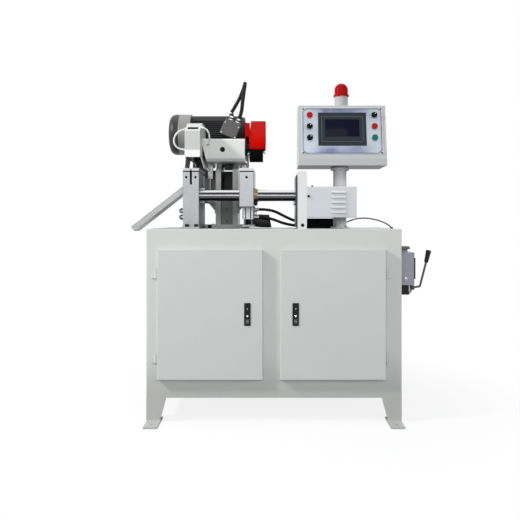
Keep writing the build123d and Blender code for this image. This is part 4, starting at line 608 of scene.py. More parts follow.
@dataclass(frozen=True)
class GroundMetal(Finish):
    """Ground, milled or drawn metal with fine marks along one axis.

    Attributes:
        grain: The axis that the marks follow.
        marks: How strong the marks are.
        blotch: How far oil and handling change its tone.
        ease: The radius of its edges in millimetres.
        joint: The height in millimetres above which the metal is painted near black, or 0 for none: a dark
            joint under the cap with painted shadow in it.
    """

    grain: Axis = Axis.Z
    marks: float = 0.5
    blotch: float = 0.1
    ease: float = 0.8
    joint: float = 0.0

    def scratches(self, graph: Graph) -> Wire:
        """The marks of the grinding, from 0 to 1.

        Args:
            graph: The material's graph.

        Returns:
            The marks, from 0 to 1.
        """
        along = tuple(Vector((1.0, 1.0, 1.0)) - self.grain.vector * 0.97)
        fine = graph.noise(Pattern.FINE_MARKS, along)
        return fine * 0.65 + graph.noise(Pattern.COARSE_MARKS, along) * 0.35

    def make(self, graph: Graph) -> bpy.types.Material:
        """Builds the metal.

        Args:
            graph: The material's graph.

        Returns:
            The finished material.
        """
        marks = self.scratches(graph)
        oil = graph.noise(Pattern.OIL)
        tone = 1.0 + (marks - 0.5) * (0.5 * self.marks) + (oil - 0.5) * self.blotch
        bright = graph.edges(self.ease) * 0.35
        colour = graph.mix(bright, graph.shade(linear(self.colour), tone), linear(BARE_EDGE))
        # Near black above the joint height: the joint under the cap, with painted shadow.
        if self.joint:
            colour = graph.mix(graph.parts()[2] > self.joint * MM, colour, linear(JOINT_SHADOW))
        rough = self.roughness + (marks - 0.5) * (0.35 * self.marks) + (oil - 0.5) * 0.1
        relief = graph.bump(marks, 0.03, 0.25 * self.marks, self.ease)
        return graph.surface(colour, rough, relief, {"Metallic": 1.0})


@dataclass(frozen=True)
class PaintedReflectionBar(GroundMetal):
    """Hard chrome on round bars along X, with long streaks of oil and painted reflection bands round them: a
    dark underside, a highlight line, a dark line and a light top.

    Attributes:
        height: The height of the bars' axes in millimetres.
        radius: Their radius in millimetres.
        film: The colour of the dark underside, a painted dark reflection with some oil.
        top_reflection: The colour of the light top, a painted reflection.
        glint: The colour of the painted highlight along the middle.
        dark_under_end: Where the painted dark underside ends, as shares of the radius above the axis.
        line: Where the painted highlight starts, in the same shares.
        glint_end: Where the painted highlight ends and the painted dark line above it starts.
        painted_light_ramp: Where that dark line ends and the painted light top starts.
    """

    height: float = 1025.0
    radius: float = 25.0
    film: Colour = (30, 29, 28)
    top_reflection: Colour = (168, 169, 171)
    glint: Colour = (200, 199, 212)
    dark_under_end: Pair = (-0.68, -0.44)
    line: Pair = (-0.2, -0.1)
    glint_end: Pair = (-0.02, 0.06)
    painted_light_ramp: Pair = (0.34, 0.44)

    def make(self, graph: Graph) -> bpy.types.Material:
        """Builds the bar's chrome, its oil streaks and its painted reflection bands.

        Args:
            graph: The material's graph.

        Returns:
            The finished material.
        """
        # Painted reflection: bands round the bar by height, a dark underside, a highlight line, a dark line
        # and a light top.
        lift = (graph.parts()[2] - self.height * MM) * (1.0 / (self.radius * MM))
        band = lift + (graph.noise(Pattern.OIL_EDGE, (0.25, 1.0, 1.0)) - 0.5) * 0.1
        under = 1.0 - band.smooth(*self.dark_under_end)
        glint_end = band.smooth(*self.glint_end)
        painted_light_ramp = band.smooth(*self.painted_light_ramp)
        streak = graph.noise(Pattern.OIL_STREAKS, (0.015, 1.0, 1.0))
        tone = 0.85 + streak * 0.3
        chrome = graph.shade(linear(self.colour), tone)
        chrome = graph.mix(band.smooth(*self.line) * (1.0 - glint_end), chrome, linear(self.glint))
        chrome = graph.mix(painted_light_ramp, chrome, graph.shade(linear(self.top_reflection), tone))
        # The dark underside and the dark line are painted dark reflection, with some oil.
        oiled = graph.most(under * 0.95, glint_end * (1.0 - painted_light_ramp) * 0.96)
        colour = graph.mix(oiled, chrome, linear(self.film))
        rough = self.roughness + (streak - 0.5) * 0.12 + under * 0.08
        return graph.surface(colour, rough, graph.bump(streak, 0.02, 0.15, self.ease), {"Metallic": 1.0})


@dataclass(frozen=True)
class TurnedMetal(GroundMetal):
    """Metal turned or ground round a shaft that lies along X, with rings about its axis.

    Attributes:
        centre: The axis' place in Y and Z, in millimetres.
        rings: Rings to a metre.
    """

    centre: Pair = (0.0, 0.0)
    rings: float = 700.0

    def scratches(self, graph: Graph) -> Wire:
        """Rings about the shaft.

        Args:
            graph: The material's graph.

        Returns:
            The marks, from 0 to 1.
        """
        _, y, z = graph.parts()
        reach = ((y - self.centre[0] * MM) ** 2.0 + (z - self.centre[1] * MM) ** 2.0) ** 0.5
        sockets = {"W": reach, "Scale": self.rings, "Detail": 4.0, "Roughness": 0.6}
        return graph.node("ShaderNodeTexNoise", {"noise_dimensions": "1D"}, sockets, out="Fac")


@dataclass(frozen=True)
class Plastic(Finish):
    """Moulded plastic or rubber with a fine spark-eroded grain.

    Attributes:
        grain: Grains to a metre.
        depth: The depth of the grain in millimetres.
        dust: How far dust lightens it.
        coat: The weight of a clear gloss over it.
        gloss: How strongly it mirrors, where 0.5 is a common plastic.
    """

    grain: float = 1600.0
    depth: float = 0.05
    dust: float = 0.08
    coat: float = 0.0
    gloss: float = 0.22

    def make(self, graph: Graph) -> bpy.types.Material:
        """Builds the plastic.

        Args:
            graph: The material's graph.

        Returns:
            The finished material.
        """
        cloud = graph.noise(Pattern.DUST)
        colour = graph.shade(linear(self.colour), 1.0 + (cloud - 0.45) * self.dust * 2.0)
        rough = self.roughness + (cloud - 0.5) * 0.16
        relief = graph.bump(graph.noise((self.grain, 2.0)), self.depth, 0.3, 0.5)
        return graph.surface(
            colour, rough, relief, {"Coat Weight": self.coat, "Specular IOR Level": self.gloss}
        )


@dataclass(frozen=True)
class Lens(Finish):
    """Clear coloured plastic with moulded ribs about an upright axis, whose colour is painted lighter and
    darker rib by rib as painted highlights.

    Attributes:
        clear: How much light goes through.
        ribs: How many ribs run round it.
        centre: The axis' place in X and Y, in millimetres.
        gloss: How strongly it mirrors, where 0.5 is a common plastic.
    """

    clear: float = 0.5
    ribs: float = 40.0
    centre: Pair = (0.0, 0.0)
    gloss: float = 0.04

    def make(self, graph: Graph) -> bpy.types.Material:
        """Builds the lens.

        Args:
            graph: The material's graph.

        Returns:
            The finished material.
        """
        x, y, _ = graph.parts()
        angle = graph.maths("ARCTAN2", y - self.centre[1] * MM, x - self.centre[0] * MM)
        ribs = graph.maths("SINE", angle * self.ribs) * 0.5 + 0.5
        film = graph.noise(Pattern.LENS_FILM)
        # The ribs paint the colour in light and dark stripes: painted highlights.
        colour = graph.shade(linear(self.colour), 0.6 + ribs * 0.32 + film * 0.2)
        glass = {"Transmission Weight": self.clear, "IOR": ACRYLIC_IOR, "Specular IOR Level": self.gloss}
        return graph.surface(colour, self.roughness + film * 0.08, graph.bump(ribs, 0.25, 0.35), glass)


@dataclass(frozen=True)
class FacePlate(GroundMetal):
    """Brushed face plate with a printed border line whose corners are cut, on a sloping panel, with painted
    bluish reflections above and below the screen.

    Attributes:
        centre: The middle of the plate, in millimetres.
        slope: How far it leans back, in radians.
        half: Half the width and height inside the border line, in millimetres.
        corner: The cut at each corner of the border, in millimetres.
        margin: The colour outside the border.
        line: The colour of the border line.
        reflection_tint: The colour of the painted bluish reflections above and below the screen.
        bold: Half the width of the border line, in millimetres.
        inset: How far a finer line runs inside it, and half that line's width, in millimetres.
        reflection_up: Where the painted reflections start and end above and below the middle, in millimetres.
        reflection_across: Where they start and end fading to each side, in millimetres.
    """

    centre: Point = (0.0, 0.0, 0.0)
    slope: float = 0.0
    half: Pair = (170.0, 100.0)
    corner: float = 14.0
    margin: Colour = (206, 209, 206)
    line: Colour = (48, 54, 96)
    reflection_tint: Colour = (96, 104, 132)
    bold: float = 1.7
    inset: Pair = (5.0, 0.5)
    reflection_up: Pair = (52.0, 100.0)
    reflection_across: Pair = (70.0, 165.0)

    def beyond(self, graph: Graph, across: Wire, up: Wire) -> Wire:
        """How far a point lies outside the border with its cut corners, in millimetres."""
        cut = (across + up - (self.half[0] + self.half[1] - self.corner)) * 0.7071
        return graph.most(graph.most(across - self.half[0], up - self.half[1]), cut)

    def make(self, graph: Graph) -> bpy.types.Material:
        """Builds the plate, its border, its margin and its painted reflections.

        Args:
            graph: The material's graph.

        Returns:
            The finished material.
        """
        x, y, z = graph.parts()
        right, back, top = self.centre
        across = abs(x - right * MM) * (1.0 / MM)
        rise = (z - top * MM) * math.cos(self.slope) + (y - back * MM) * math.sin(self.slope)
        up = abs(rise * (1.0 / MM))
        beyond = self.beyond(graph, across, up)
        outside = beyond > 0.0
        inset, fine = self.inset
        border = (abs(beyond) < self.bold) + (abs(beyond + inset) < fine) * 0.6
        marks = self.scratches(graph)
        brushed = graph.shade(linear(self.colour), 1.0 + (marks - 0.5) * (0.3 * self.marks))
        # Painted reflection: bluish patches above and below the screen, and a light mottle over the plate.
        cloud = graph.noise(Pattern.PLATE_CLOUD)
        near = up.smooth(*self.reflection_up) * (1.0 - across.smooth(*self.reflection_across))
        patch = near * (0.25 + cloud * 1.1) + cloud.smooth(0.45, 0.75) * 0.25
        plate = graph.mix(outside, graph.mix(patch, brushed, linear(self.reflection_tint)), linear(self.margin))
        colour = graph.mix(border, plate, linear(self.line))
        rough = self.roughness + (marks - 0.5) * 0.1
        relief = graph.bump(marks, 0.02, 0.2, self.ease)
        return graph.surface(colour, rough, relief, {"Metallic": (1.0 - outside) * 0.75})


def bar(radius: float, height: float, sides: int) -> bmesh.types.BMesh:
    """An upright bar on the origin.

    Args:
        radius: Its radius over the corners.
        height: Its height.
        sides: How many sides it has.

    Returns:
        The bar, not yet part of a solid.
    """
    part = bmesh.new()
    bmesh.ops.create_cone(part, cap_ends=True, segments=sides, radius1=radius, radius2=radius, depth=height)
    bmesh.ops.translate(part, vec=(0.0, 0.0, height / 2), verts=part.verts)
    return part


def chain(part: bmesh.types.BMesh, outline: Outline) -> list:
    """An outline of radii and heights, added to a part as points and lines that can be spun."""
    points = [part.verts.new((radius, 0.0, height)) for radius, height in outline]
    return points + [part.edges.new(pair) for pair in zip(points, points[1:])]


def thicken(part: bmesh.types.BMesh, height: float) -> None:
    """Raises the faces of a flat part into a solid.

    Args:
        part: The part.
        height: How thick it gets.
    """
    raised = bmesh.ops.extrude_face_region(part, geom=part.faces[:])["geom"]
    points = [item for item in raised if isinstance(item, bmesh.types.BMVert)]
    bmesh.ops.translate(part, vec=(0.0, 0.0, height), verts=points)
    bmesh.ops.recalc_face_normals(part, faces=part.faces)


def ease(part: bmesh.types.BMesh, edges: Iterable[bmesh.types.BMEdge], radius: float) -> None:
    """Rounds edges of a part.

    Args:
        part: The part.
        edges: Its edges to round.
        radius: The radius, in the part's own units.
    """
    bmesh.ops.bevel(
        part,
        geom=list(edges),
        offset=radius,
        offset_type="OFFSET",
        affect="EDGES",
        segments=EASE_SEGMENTS,
        profile=0.5,
        material=-1,
    )


def top_face(part: bmesh.types.BMesh) -> bmesh.types.BMFace:
    """The highest face of a part."""
    return max(part.faces, key=lambda face: face.calc_center_median().z)


def bolt_circle(radius: float, count: int = 4) -> list[Pair]:
    """Places round a circle, measured from its middle, half a step off its start."""
    angles = [math.tau * (index + 0.5) / count for index in range(count)]
    return [(radius * math.cos(angle), radius * math.sin(angle)) for angle in angles]


class Solid:
    """A mesh in the making. Its sizes are in millimetres, and it ends up in metres."""

    def __init__(self) -> None:
        """Starts with nothing."""
        self.mesh = bmesh.new()

    def take(self, part: bmesh.types.BMesh, centre: Point, aim: Aim, turn: float = 0.0) -> "Solid":
        """Takes in a part that was made about the Z axis at the origin.

        Args:
            part: The part, in millimetres.
            centre: Where its origin goes.
            aim: Where its Z axis points.
            turn: How far it is turned about its own axis, in radians.

        Returns:
            This solid.
        """
        axis = aim.vector if isinstance(aim, Axis) else Vector(aim)
        lean = axis.to_track_quat("Z", "Y").to_matrix().to_4x4()
        spin = Matrix.Rotation(turn, 4, "Z")
        matrix = Matrix.Translation(metres(centre)) @ lean @ spin @ Matrix.Scale(MM, 4)
        bmesh.ops.transform(part, matrix=matrix, verts=part.verts)
        bmesh.ops.recalc_face_normals(part, faces=part.faces)
        mesh = bpy.data.meshes.new("part")
        part.to_mesh(mesh)
        part.free()
        return self.take_mesh(mesh)

    def take_mesh(self, mesh: bpy.types.Mesh) -> "Solid":
        """Takes in a mesh that is already in place, and removes it."""
        self.mesh.from_mesh(mesh)
        bpy.data.meshes.remove(mesh)
        return self

    def block(self, size: Point, centre: Point, aim: Aim, edge: float, turn: float = 0.0) -> "Solid":
        """A box with eased edges.

        Args:
            size: Its size before it is aimed.
            centre: Its middle.
            aim: Where its Z axis points.
            edge: The radius of its edges.
            turn: How far it is turned about its own axis, in radians.

        Returns:
            This solid.
        """
        part = bmesh.new()
        bmesh.ops.create_cube(part, size=1.0)
        bmesh.ops.scale(part, vec=size, verts=part.verts)
        ease(part, part.edges, edge)
        return self.take(part, centre, aim, turn)

    def span(self, x: Pair, y: Pair, z: Pair, edge: float) -> "Solid":
        """A level box with eased edges.

        Args:
            x: Its left and right side.
            y: Its front and back.
            z: Its foot and top.
            edge: The radius of its edges.

        Returns:
            This solid.
        """
        size = tuple(end - start for start, end in (x, y, z))
        centre = tuple((start + end) / 2 for start, end in (x, y, z))
        return self.block(size, centre, Axis.Z, edge)

    def lathe(self, outline: Outline, centre: Point, aim: Aim, steps: int = 32) -> "Solid":
        """A turned shape.

        Args:
            outline: Radius and height of each point of its outline.
            centre: The foot of its axis.
            aim: Where its axis points.
            steps: How many flats it has round it.

        Returns:
            This solid.
        """
        part = bmesh.new()
        bmesh.ops.spin(
            part,
            geom=chain(part, outline),
            cent=(0.0, 0.0, 0.0),
            axis=Axis.Z.value,
            angle=math.tau,
            steps=steps,
            use_merge=True,
        )
        bmesh.ops.remove_doubles(part, verts=part.verts, dist=0.001)
        return self.take(part, centre, aim)

    def cap_screw(self, centre: Point, aim: Aim, head: Head) -> "Solid":
        """A socket-head screw: a round head with an eased rim and a six-sided socket.

        Args:
            centre: The seat of the head.
            aim: Where the head points.
            head: The radius and height of the head.

        Returns:
            This solid.
        """
        radius, height = head
        part = bar(radius, height, HEAD_SIDES)
        ease(part, top_face(part).edges, radius * HEAD_RIM)
        top = top_face(part)
        bmesh.ops.inset_region(part, faces=[top], thickness=radius * HEAD_WALL)
        for vertex in top.verts:
            angle = math.atan2(vertex.co.y, vertex.co.x)
            reach = radius * SOCKET_FLAT / math.cos(angle % (math.pi / 3) - math.pi / 6)
            vertex.co.x = reach * math.cos(angle)
            vertex.co.y = reach * math.sin(angle)
        draft = radius * SOCKET_DRAFT
        bmesh.ops.inset_region(part, faces=[top], thickness=draft, depth=-height * SOCKET_DEPTH)
        return self.take(part, centre, aim)

    def cap_screws(self, places: Iterable[Point], aim: Aim, head: Head) -> "Solid":
        """Socket-head screws of one size at several places.

        Args:
            places: The seat of each head.
            aim: Where the heads point.
            head: The radius and height of each head.

        Returns:
            This solid.
        """
        for place in places:
            self.cap_screw(place, aim, head)
        return self

    def hexagon(self, centre: Point, aim: Aim, head: Head, turn: float = 0.0) -> "Solid":
        """A hexagon with eased edges.

        Args:
            centre: The middle of its foot.
            aim: Where its top points.
            head: The radius over its corners, and its height.
            turn: How far it is turned, in radians.

        Returns:
            This solid.
        """
        part = bar(*head, 6)
        ease(part, part.edges, head[0] * HEXAGON_EDGE)
        return self.take(part, centre, aim, turn)

    def hex_bolt(self, centre: Point, aim: Aim, head: Head, turn: float = 0.0) -> "Solid":
        """A hexagon head on a washer.

        Args:
            centre: The seat of the washer.
            aim: Where the head points.
            head: The radius over the head's corners, and its height.
            turn: How far the head is turned, in radians.

        Returns:
            This solid.
        """
        radius, height = head
        washer = radius * WASHER_REACH
        thick = height * WASHER_HEIGHT
        rim = [(0.0, 0.0), (washer, 0.0), (washer, thick * 0.7), (washer * 0.96, thick), (0.0, thick)]
        self.lathe(rim, centre, aim, 28)
        return self.hexagon(centre, aim, (radius, height + thick), turn)

    def thread(self, radii: Pair, lead: float, turns: int, centre: Point, aim: Aim) -> "Solid":
        """A screw with one round groove, closed at both ends.

        Args:
            radii: The radius of the land between the grooves, and at the bottom of the groove.
            lead: How far the groove runs along the axis in one turn.
            turns: How many turns it makes.
            centre: The foot of its axis.
            aim: Where its axis points.

        Returns:
            This solid.
        """
        outer, root = radii
        middle = (outer + root) / 2
        land = ((outer, 0.0), (outer, 0.5))
        groove = ((middle, 0.56), (root, 0.68), (root, 0.8), (middle, 0.92), (outer, 1.0))
        part = bmesh.new()
        bmesh.ops.spin(
            part,
            geom=chain(part, [(radius, share * lead) for radius, share in land + groove]),
            cent=(0.0, 0.0, 0.0),
            axis=Axis.Z.value,
            dvec=(0.0, 0.0, lead / THREAD_STEPS),
            angle=math.tau * turns,
            steps=THREAD_STEPS * turns,
        )
        bmesh.ops.remove_doubles(part, verts=part.verts, dist=0.01)
        bmesh.ops.holes_fill(part, edges=[edge for edge in part.edges if edge.is_boundary], sides=0)
        bmesh.ops.triangulate(part, faces=[face for face in part.faces if len(face.verts) > 4])
        return self.take(part, centre, aim)

    def prism(self, outline: Outline, depth: float, centre: Point, aim: Aim) -> "Solid":
        """A flat plate with eased edges.

        Args:
            outline: The corners of its face, across and up.
            depth: Its thickness.
            centre: Where the face's origin goes.
            aim: Where the face points.

        Returns:
            This solid.
        """
        part = bmesh.new()
        part.faces.new([part.verts.new((across, up, 0.0)) for across, up in outline])
        thicken(part, depth)
        ease(part, part.edges, PLATE_EDGE)
        return self.take(part, centre, aim)

    def frame(self, outer: Pair, bars: Pair, centre: Point, aim: Aim) -> "Solid":
        """A flat rectangular frame with eased edges.

        Args:
            outer: Its width and height.
            bars: The width and thickness of its bars.
            centre: The middle of its back.
            aim: Where its front points.

        Returns:
            This solid.
        """
        part = bmesh.new()
        bmesh.ops.create_grid(part, x_segments=1, y_segments=1, size=0.5)
        bmesh.ops.scale(part, vec=(*outer, 1.0), verts=part.verts)
        middle = part.faces[:]
        bmesh.ops.inset_region(part, faces=middle, thickness=bars[0], use_boundary=True)
        bmesh.ops.delete(part, geom=middle, context="FACES")
        thicken(part, bars[1])
        ease(part, part.edges, min(bars) * FRAME_EDGE)
        return self.take(part, centre, aim)

    def data(self, name: str) -> bpy.types.Mesh:
        """Ends the mesh as smooth data.

        Args:
            name: The data's name.

        Returns:
            The data.
        """
        mesh = bpy.data.meshes.new(name)
        self.mesh.to_mesh(mesh)
        self.mesh.free()
        mesh.polygons.foreach_set("use_smooth", [True] * len(mesh.polygons))
        return mesh

    def piece(self, name: str, body: str, finish: Finish, slot: str) -> bpy.types.Object:
        """Ends the mesh as a piece that rides on a body.

        Args:
            name: The piece's name.
            body: The body that it moves with.
            finish: Its finish.
            slot: Not used.

        Returns:
            The piece.
        """
        mesh = self.data(name)
        mesh.set_sharp_from_angle(angle=SHARP_ANGLE)
        mesh.materials.append(finish.material())
        made = put(name, mesh)
        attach(made, body)
        log.info("piece %s on %s, %d faces", name, body, len(mesh.polygons))
        return made


def dress(finish: Finish, *nodes: str) -> None:
    """Gives CAD nodes a finish.

    Args:
        finish: The finish.
        nodes: The nodes' names.
    """
    for name in nodes:
        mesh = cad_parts[name].data
        mesh.materials.clear()
        mesh.materials.append(finish.material())
        log.info("node %s in %s", name, finish.name)


@dataclass(frozen=True)
class Hose:
    """A hose or cable that goes from one fitting to another.

    Attributes:
        name: The piece's name.
        node: The CAD node that it stands for.
        diameter: Its diameter in millimetres.
        body: The body that it moves with.
        finish: Its finish.
        slot: Not used.
        route: The control points of its line, in millimetres.
        stiffness: Not used.
        to_body: The body at its far end where that is another one.
        rib: The pitch of its ribs in millimetres, or 0 for a plain one.
    """

    name: str
    node: str
    diameter: float
    body: str
    finish: Finish
    slot: str
    route: tuple[Point, ...]
    stiffness: str = "medium"
    to_body: Optional[str] = None
    rib: float = 0.0

    def curve(self, bevel: float) -> bpy.types.Object:
        """The smooth line through the route, round or bare.

        Args:
            bevel: The radius of the round in metres, or 0 for the bare line.

        Returns:
            The curve, not yet in the scene.
        """
        data = bpy.data.curves.new(self.name, "CURVE")
        data.dimensions = "3D"
        data.resolution_u = HOSE_STEPS
        data.bevel_depth = bevel
        data.bevel_resolution = HOSE_ROUND
        data.use_fill_caps = True
        spline = data.splines.new("NURBS")
        spline.points.add(len(self.route) - 1)
        for point, place in zip(spline.points, self.route):
            point.co = (*metres(place), 1.0)
        spline.order_u = 3
        spline.use_endpoint_u = True
        return bpy.data.objects.new(self.name, data)

    def line(self) -> list[Vector]:
        """Points along the smooth line, in metres."""
        bare = self.curve(0.0)
        mesh = bpy.data.meshes.new_from_object(bare)
        points = [vertex.co.copy() for vertex in mesh.vertices]
        bpy.data.meshes.remove(mesh)
        bpy.data.objects.remove(bare)
        return points

    def ribs(self, points: Sequence[Vector]) -> Solid:
        """Rings at an even pitch along the line.

        Args:
            points: Points along the line, in metres.

        Returns:
            The rings.
        """
        solid = Solid()
        radius = self.diameter / 2
        root = radius - RIB_ROOT
        shoulder = radius - RIB_SHOULDER
        half = self.rib * RIB_SHARE
        side = half * 0.7
        outline = [(root, -half), (shoulder, -side), (radius, 0.0), (shoulder, side), (root, half)]
        since = self.rib / 2
        for start, end in zip(points, points[1:]):
            run = (end - start).length / MM
            while since < run:
                solid.lathe([*outline, outline[0]], tuple(start.lerp(end, since / run) / MM), end - start, 20)
                since += self.rib
            since -= run
        return solid

    def meshed(self, tube: bpy.types.Object, points: Sequence[Vector]) -> bpy.types.Object:
        """The hose as a mesh with its ribs, in place of the curve.

        Args:
            tube: The round curve, which is removed.
            points: Points along its line, in metres.

        Returns:
            The mesh object, not yet in the scene.
        """
        solid = self.ribs(points) if self.rib else Solid()
        mesh = bpy.data.meshes.new_from_object(tube)
        bpy.data.objects.remove(tube)
        return bpy.data.objects.new(self.name, solid.take_mesh(mesh).data(self.name))

    def build(self) -> bpy.types.Object:
        """Returns:
            The piece.
        """
        points = self.line()
        made = self.curve(self.diameter / 2 * MM - (RIB_HEIGHT * MM if self.rib else 0.0))
        if self.rib or self.to_body:
            made = self.meshed(made, points)
        made.data.materials.clear()
        made.data.materials.append(self.finish.material())
        bpy.context.scene.collection.objects.link(made)
        if self.to_body:
            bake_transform(made)
        else:
            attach(made, self.body)
        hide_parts(self.node)
        return made


POWDER_COAT = TablePaint("grey_powder_coat", (215, 216, 213), 0.42, peel=0.16, mottle=0.05, ease=2.0)
DOOR_COAT = Paint("door_powder_coat", (213, 214, 212), 0.42, peel=0.16, mottle=0.05, ease=1.5)
PANEL_COAT = ShadedPaint("panel_powder_coat", (190, 194, 193), 0.4, peel=0.14, mottle=0.04, ease=2.0)
# Near-white paint on the post, lighter than the panel's, to make up for the panel's shadow on it: painted
# light.
POST_COAT = Paint("post_powder_coat", (250, 251, 251), 0.4, peel=0.14, mottle=0.04, ease=2.0)
COVER_COAT = Paint("cover_powder_coat", (215, 218, 221), 0.38, peel=0.12, mottle=0.04, ease=1.5)
COLUMN_ENAMEL = ColumnPaint("column_enamel", (212, 215, 212), 0.4, mottle=0.1, worn=(150, 152, 150), ease=2.5)
CASE_ENAMEL = CastPaint("gear_case_enamel", (226, 228, 224), 0.36, mottle=0.07, ease=2.5, grit=0.2)
GUARD_COAT = TwoTonePaint(
    "blade_guard_coat",
    (203, 205, 202),
    0.38,
    mottle=0.06,
    worn=(150, 150, 148),
    ease=1.5,
    below=(250, 250, 249),
    line=1239.0,
    front=True,
)
# Dark grey for the sheet behind the blade and the plate beside the column: painted shade in the space there.
SHADE_SHEET = Paint("painted_shade_sheet", (92, 92, 90), 0.5, peel=0.1, mottle=0.2, ease=1.0)
RED_ENAMEL = TwoTonePaint("red_guard_enamel", (188, 12, 4), 0.6, peel=0.1, mottle=0.08, ease=1.5, gloss=0.02)
MOTOR_ENAMEL = CastPaint("motor_enamel", (66, 66, 68), 0.45, mottle=0.14, ease=1.2, grit=0.25, gloss=0.08)
COWL_ENAMEL = TwoToneCast(
    "fan_cowl_enamel",
    (138, 138, 136),
    0.4,
    mottle=0.1,
    grit=0.12,
    below=(52, 52, 54),
    line=-485.0,
    axis=Axis.X,
    seam=4.0,
)
# The motor's drive-end shield, enamelled darker than the motor to stand for the shade inside the belt guard:
# partly painted shade.
MOTOR_SHIELD = CastPaint(
    "motor_shield_enamel", (46, 46, 48), 0.44, mottle=0.14, ease=1.2, grit=0.25, gloss=0.15
)
TERMINAL_ENAMEL = CastPaint(
    "terminal_box_enamel", (90, 90, 91), 0.42, mottle=0.1, ease=2.0, grit=0.2, gloss=0.2
)
TANK_PAINT = TwoTonePaint(
    "tank_silver_paint", (52, 52, 55), 0.34, peel=0.1, mottle=0.1, ease=2.0, below=(164, 166, 174), line=776.0
)
BLACK_PAINT = Paint(
    "black_machine_paint", (24, 24, 26), 0.38, peel=0.1, mottle=0.2, worn=(92, 92, 92), ease=1.0
)
LEVER_PAINT = TwoTonePaint(
    "lever_steel_and_grip", (22, 22, 24), 0.4, mottle=0.1, below=(92, 93, 96), line=710.0
)

GROUND_STEEL = GroundMetal("ground_steel_face", (150, 152, 154), 0.45, Axis.Z, 0.7, 0.3, joint=1130.5)
MILLED_CAP = GroundMetal("milled_cap_face", (158, 160, 161), 0.4, Axis.Y, 0.6, 0.16)
# White end plate, painted dark left of X 107 over its left face: painted shade.
BRIGHT_PLATE = TwoTonePaint(
    "bright_end_plate", (232, 233, 233), 0.34, mottle=0.06, below=(62, 62, 64), line=107.0, axis=Axis.X
)
# Chrome for the guide rods, with painted reflection bands round them.
CHROME_BAR = PaintedReflectionBar("hard_chrome_bar", (98, 98, 101), 0.16, Axis.X, 0.2, 0.04)
ROD_CHROME = GroundMetal("feed_rod_chrome", (116, 116, 116), 0.22, Axis.Z, 0.2, 0.1)
CHROME = GroundMetal("bright_chrome", (228, 229, 231), 0.1, Axis.Z, 0.1, 0.03, 0.4)
BRONZE = GroundMetal("oiled_bronze", (112, 106, 78), 0.36, Axis.X, 0.5, 0.3)
ALUMINIUM = GroundMetal("drawn_aluminium", (190, 192, 194), 0.4, Axis.Z, 0.5, 0.1)
DULL_ALUMINIUM = GroundMetal("dull_aluminium", (132, 132, 130), 0.42, Axis.Z, 0.5, 0.3)
BLADE_STEEL = TurnedMetal(
    "ground_blade", (176, 177, 179), 0.28, Axis.X, 0.8, 0.1, 0.4, centre=(-85.0, 1230.0)
)
DARK_STEEL = GroundMetal("blackened_steel", (54, 54, 57), 0.38, Axis.X, 0.4, 0.3)
ZINC_STEEL = GroundMetal("zinc_plated_steel", (170, 172, 173), 0.3, Axis.Z, 0.3, 0.15, 0.5)
SHEET_STEEL = GroundMetal("plain_sheet", (158, 160, 159), 0.46, Axis.X, 0.25, 0.08)
TANK_STEEL = GroundMetal("tank_sheet", (168, 170, 170), 0.42, Axis.X, 0.4, 0.2)
SCREW_STEEL = TurnedMetal(
    "rolled_screw", (150, 151, 152), 0.24, Axis.X, 0.3, 0.2, 0.3, centre=(-212.0, 1025.0)
)
BLACK_SCREW = Plastic("black_oxide_screw", (15, 15, 16), 0.42, 900.0, 0.02, 0.2, gloss=0.12)
BRASS = GroundMetal("nickelled_brass", (202, 200, 192), 0.24, Axis.Z, 0.2, 0.15, 0.4)

BLACK_PLASTIC = Plastic("black_moulding", (20, 20, 22), 0.34, coat=0.1, gloss=0.2)
GRIP_RUBBER = Plastic("black_grip", (26, 26, 28), 0.52, 900.0, 0.15, 0.2)
BELT_RUBBER = Plastic("belt_rubber_look", (30, 30, 32), 0.62, 700.0, 0.1, 0.25)
HOSE_RUBBER = Plastic("black_hose_jacket", (22, 22, 24), 0.42, 900.0, 0.05, 0.3)
CABLE_JACKET = Plastic("grey_cable_jacket", (132, 134, 136), 0.46, 900.0, 0.05, 0.15)
WHITE_HOSE = Plastic("white_hose_jacket", (228, 229, 228), 0.36, 700.0, 0.04, 0.1)
DEVICE_PLASTIC = Plastic("device_moulding", (196, 197, 194), 0.42)
SCREEN_MOULDING = Plastic("screen_moulding", (44, 51, 57), 0.45, gloss=0.08)
SCREEN_GLASS = Plastic("dark_screen_glass", (14, 18, 36), 0.16, 300.0, 0.0, 0.06, gloss=0.05)
SCREEN_RIM = Plastic("screen_rim", (102, 110, 116), 0.4, gloss=0.1)
RED_BUTTON = Plastic("red_button_moulding", (184, 14, 10), 0.36, 500.0, 0.02, 0.1, 0.02, 0.08)
GREEN_BUTTON = Plastic("green_button_moulding", (0, 116, 98), 0.36, 500.0, 0.02, 0.1, 0.02, 0.08)
LID_GREY = Plastic("grey_lid", (104, 105, 108), 0.3, 900.0, 0.03, 0.2)
KNOB_BLACK = Plastic("black_knob", (12, 12, 13), 0.5, 900.0, 0.03, 0.2, gloss=0.08)
WHITE_MARK = Plastic("white_pointer", (236, 236, 234), 0.4)
BEACON_MOULDING = Plastic("beacon_base_moulding", (182, 183, 181), 0.4)
RED_LENS = Lens("red_beacon_lens", (190, 8, 5), 0.3, 0.04, 16.0, (322.5, -150.0))
PANEL_FACE = FacePlate(
    "panel_face_plate",
    (158, 166, 174),
    0.4,
    Axis.X,
    0.4,
    0.06,
    0.6,
    centre=(315.5, -267.0, 1322.0),
    slope=PANEL_SLOPE,
    half=(181.5, 108.5),
)


@dataclass(frozen=True)
class Rows:
    """Screws of one size in level rows.

    Attributes:
        x: The X of each row.
        y: The Y of the screws in a row.
        z: Their seat, or their middle where they face the front.
        head: The radius and height of their heads.
    """

    x: tuple[float, ...]
    y: tuple[float, ...]
    z: float
    head: Head

    def places(self) -> list[Point]:
        """The seat of each screw, row by row."""
        return [(x, y, self.z) for x in self.x for y in self.y]

    def add(self, solid: Solid, aim: Axis = Axis.Z) -> Solid:
        """Adds the rows to a solid as socket-head screws."""
        return solid.cap_screws(self.places(), aim, self.head)


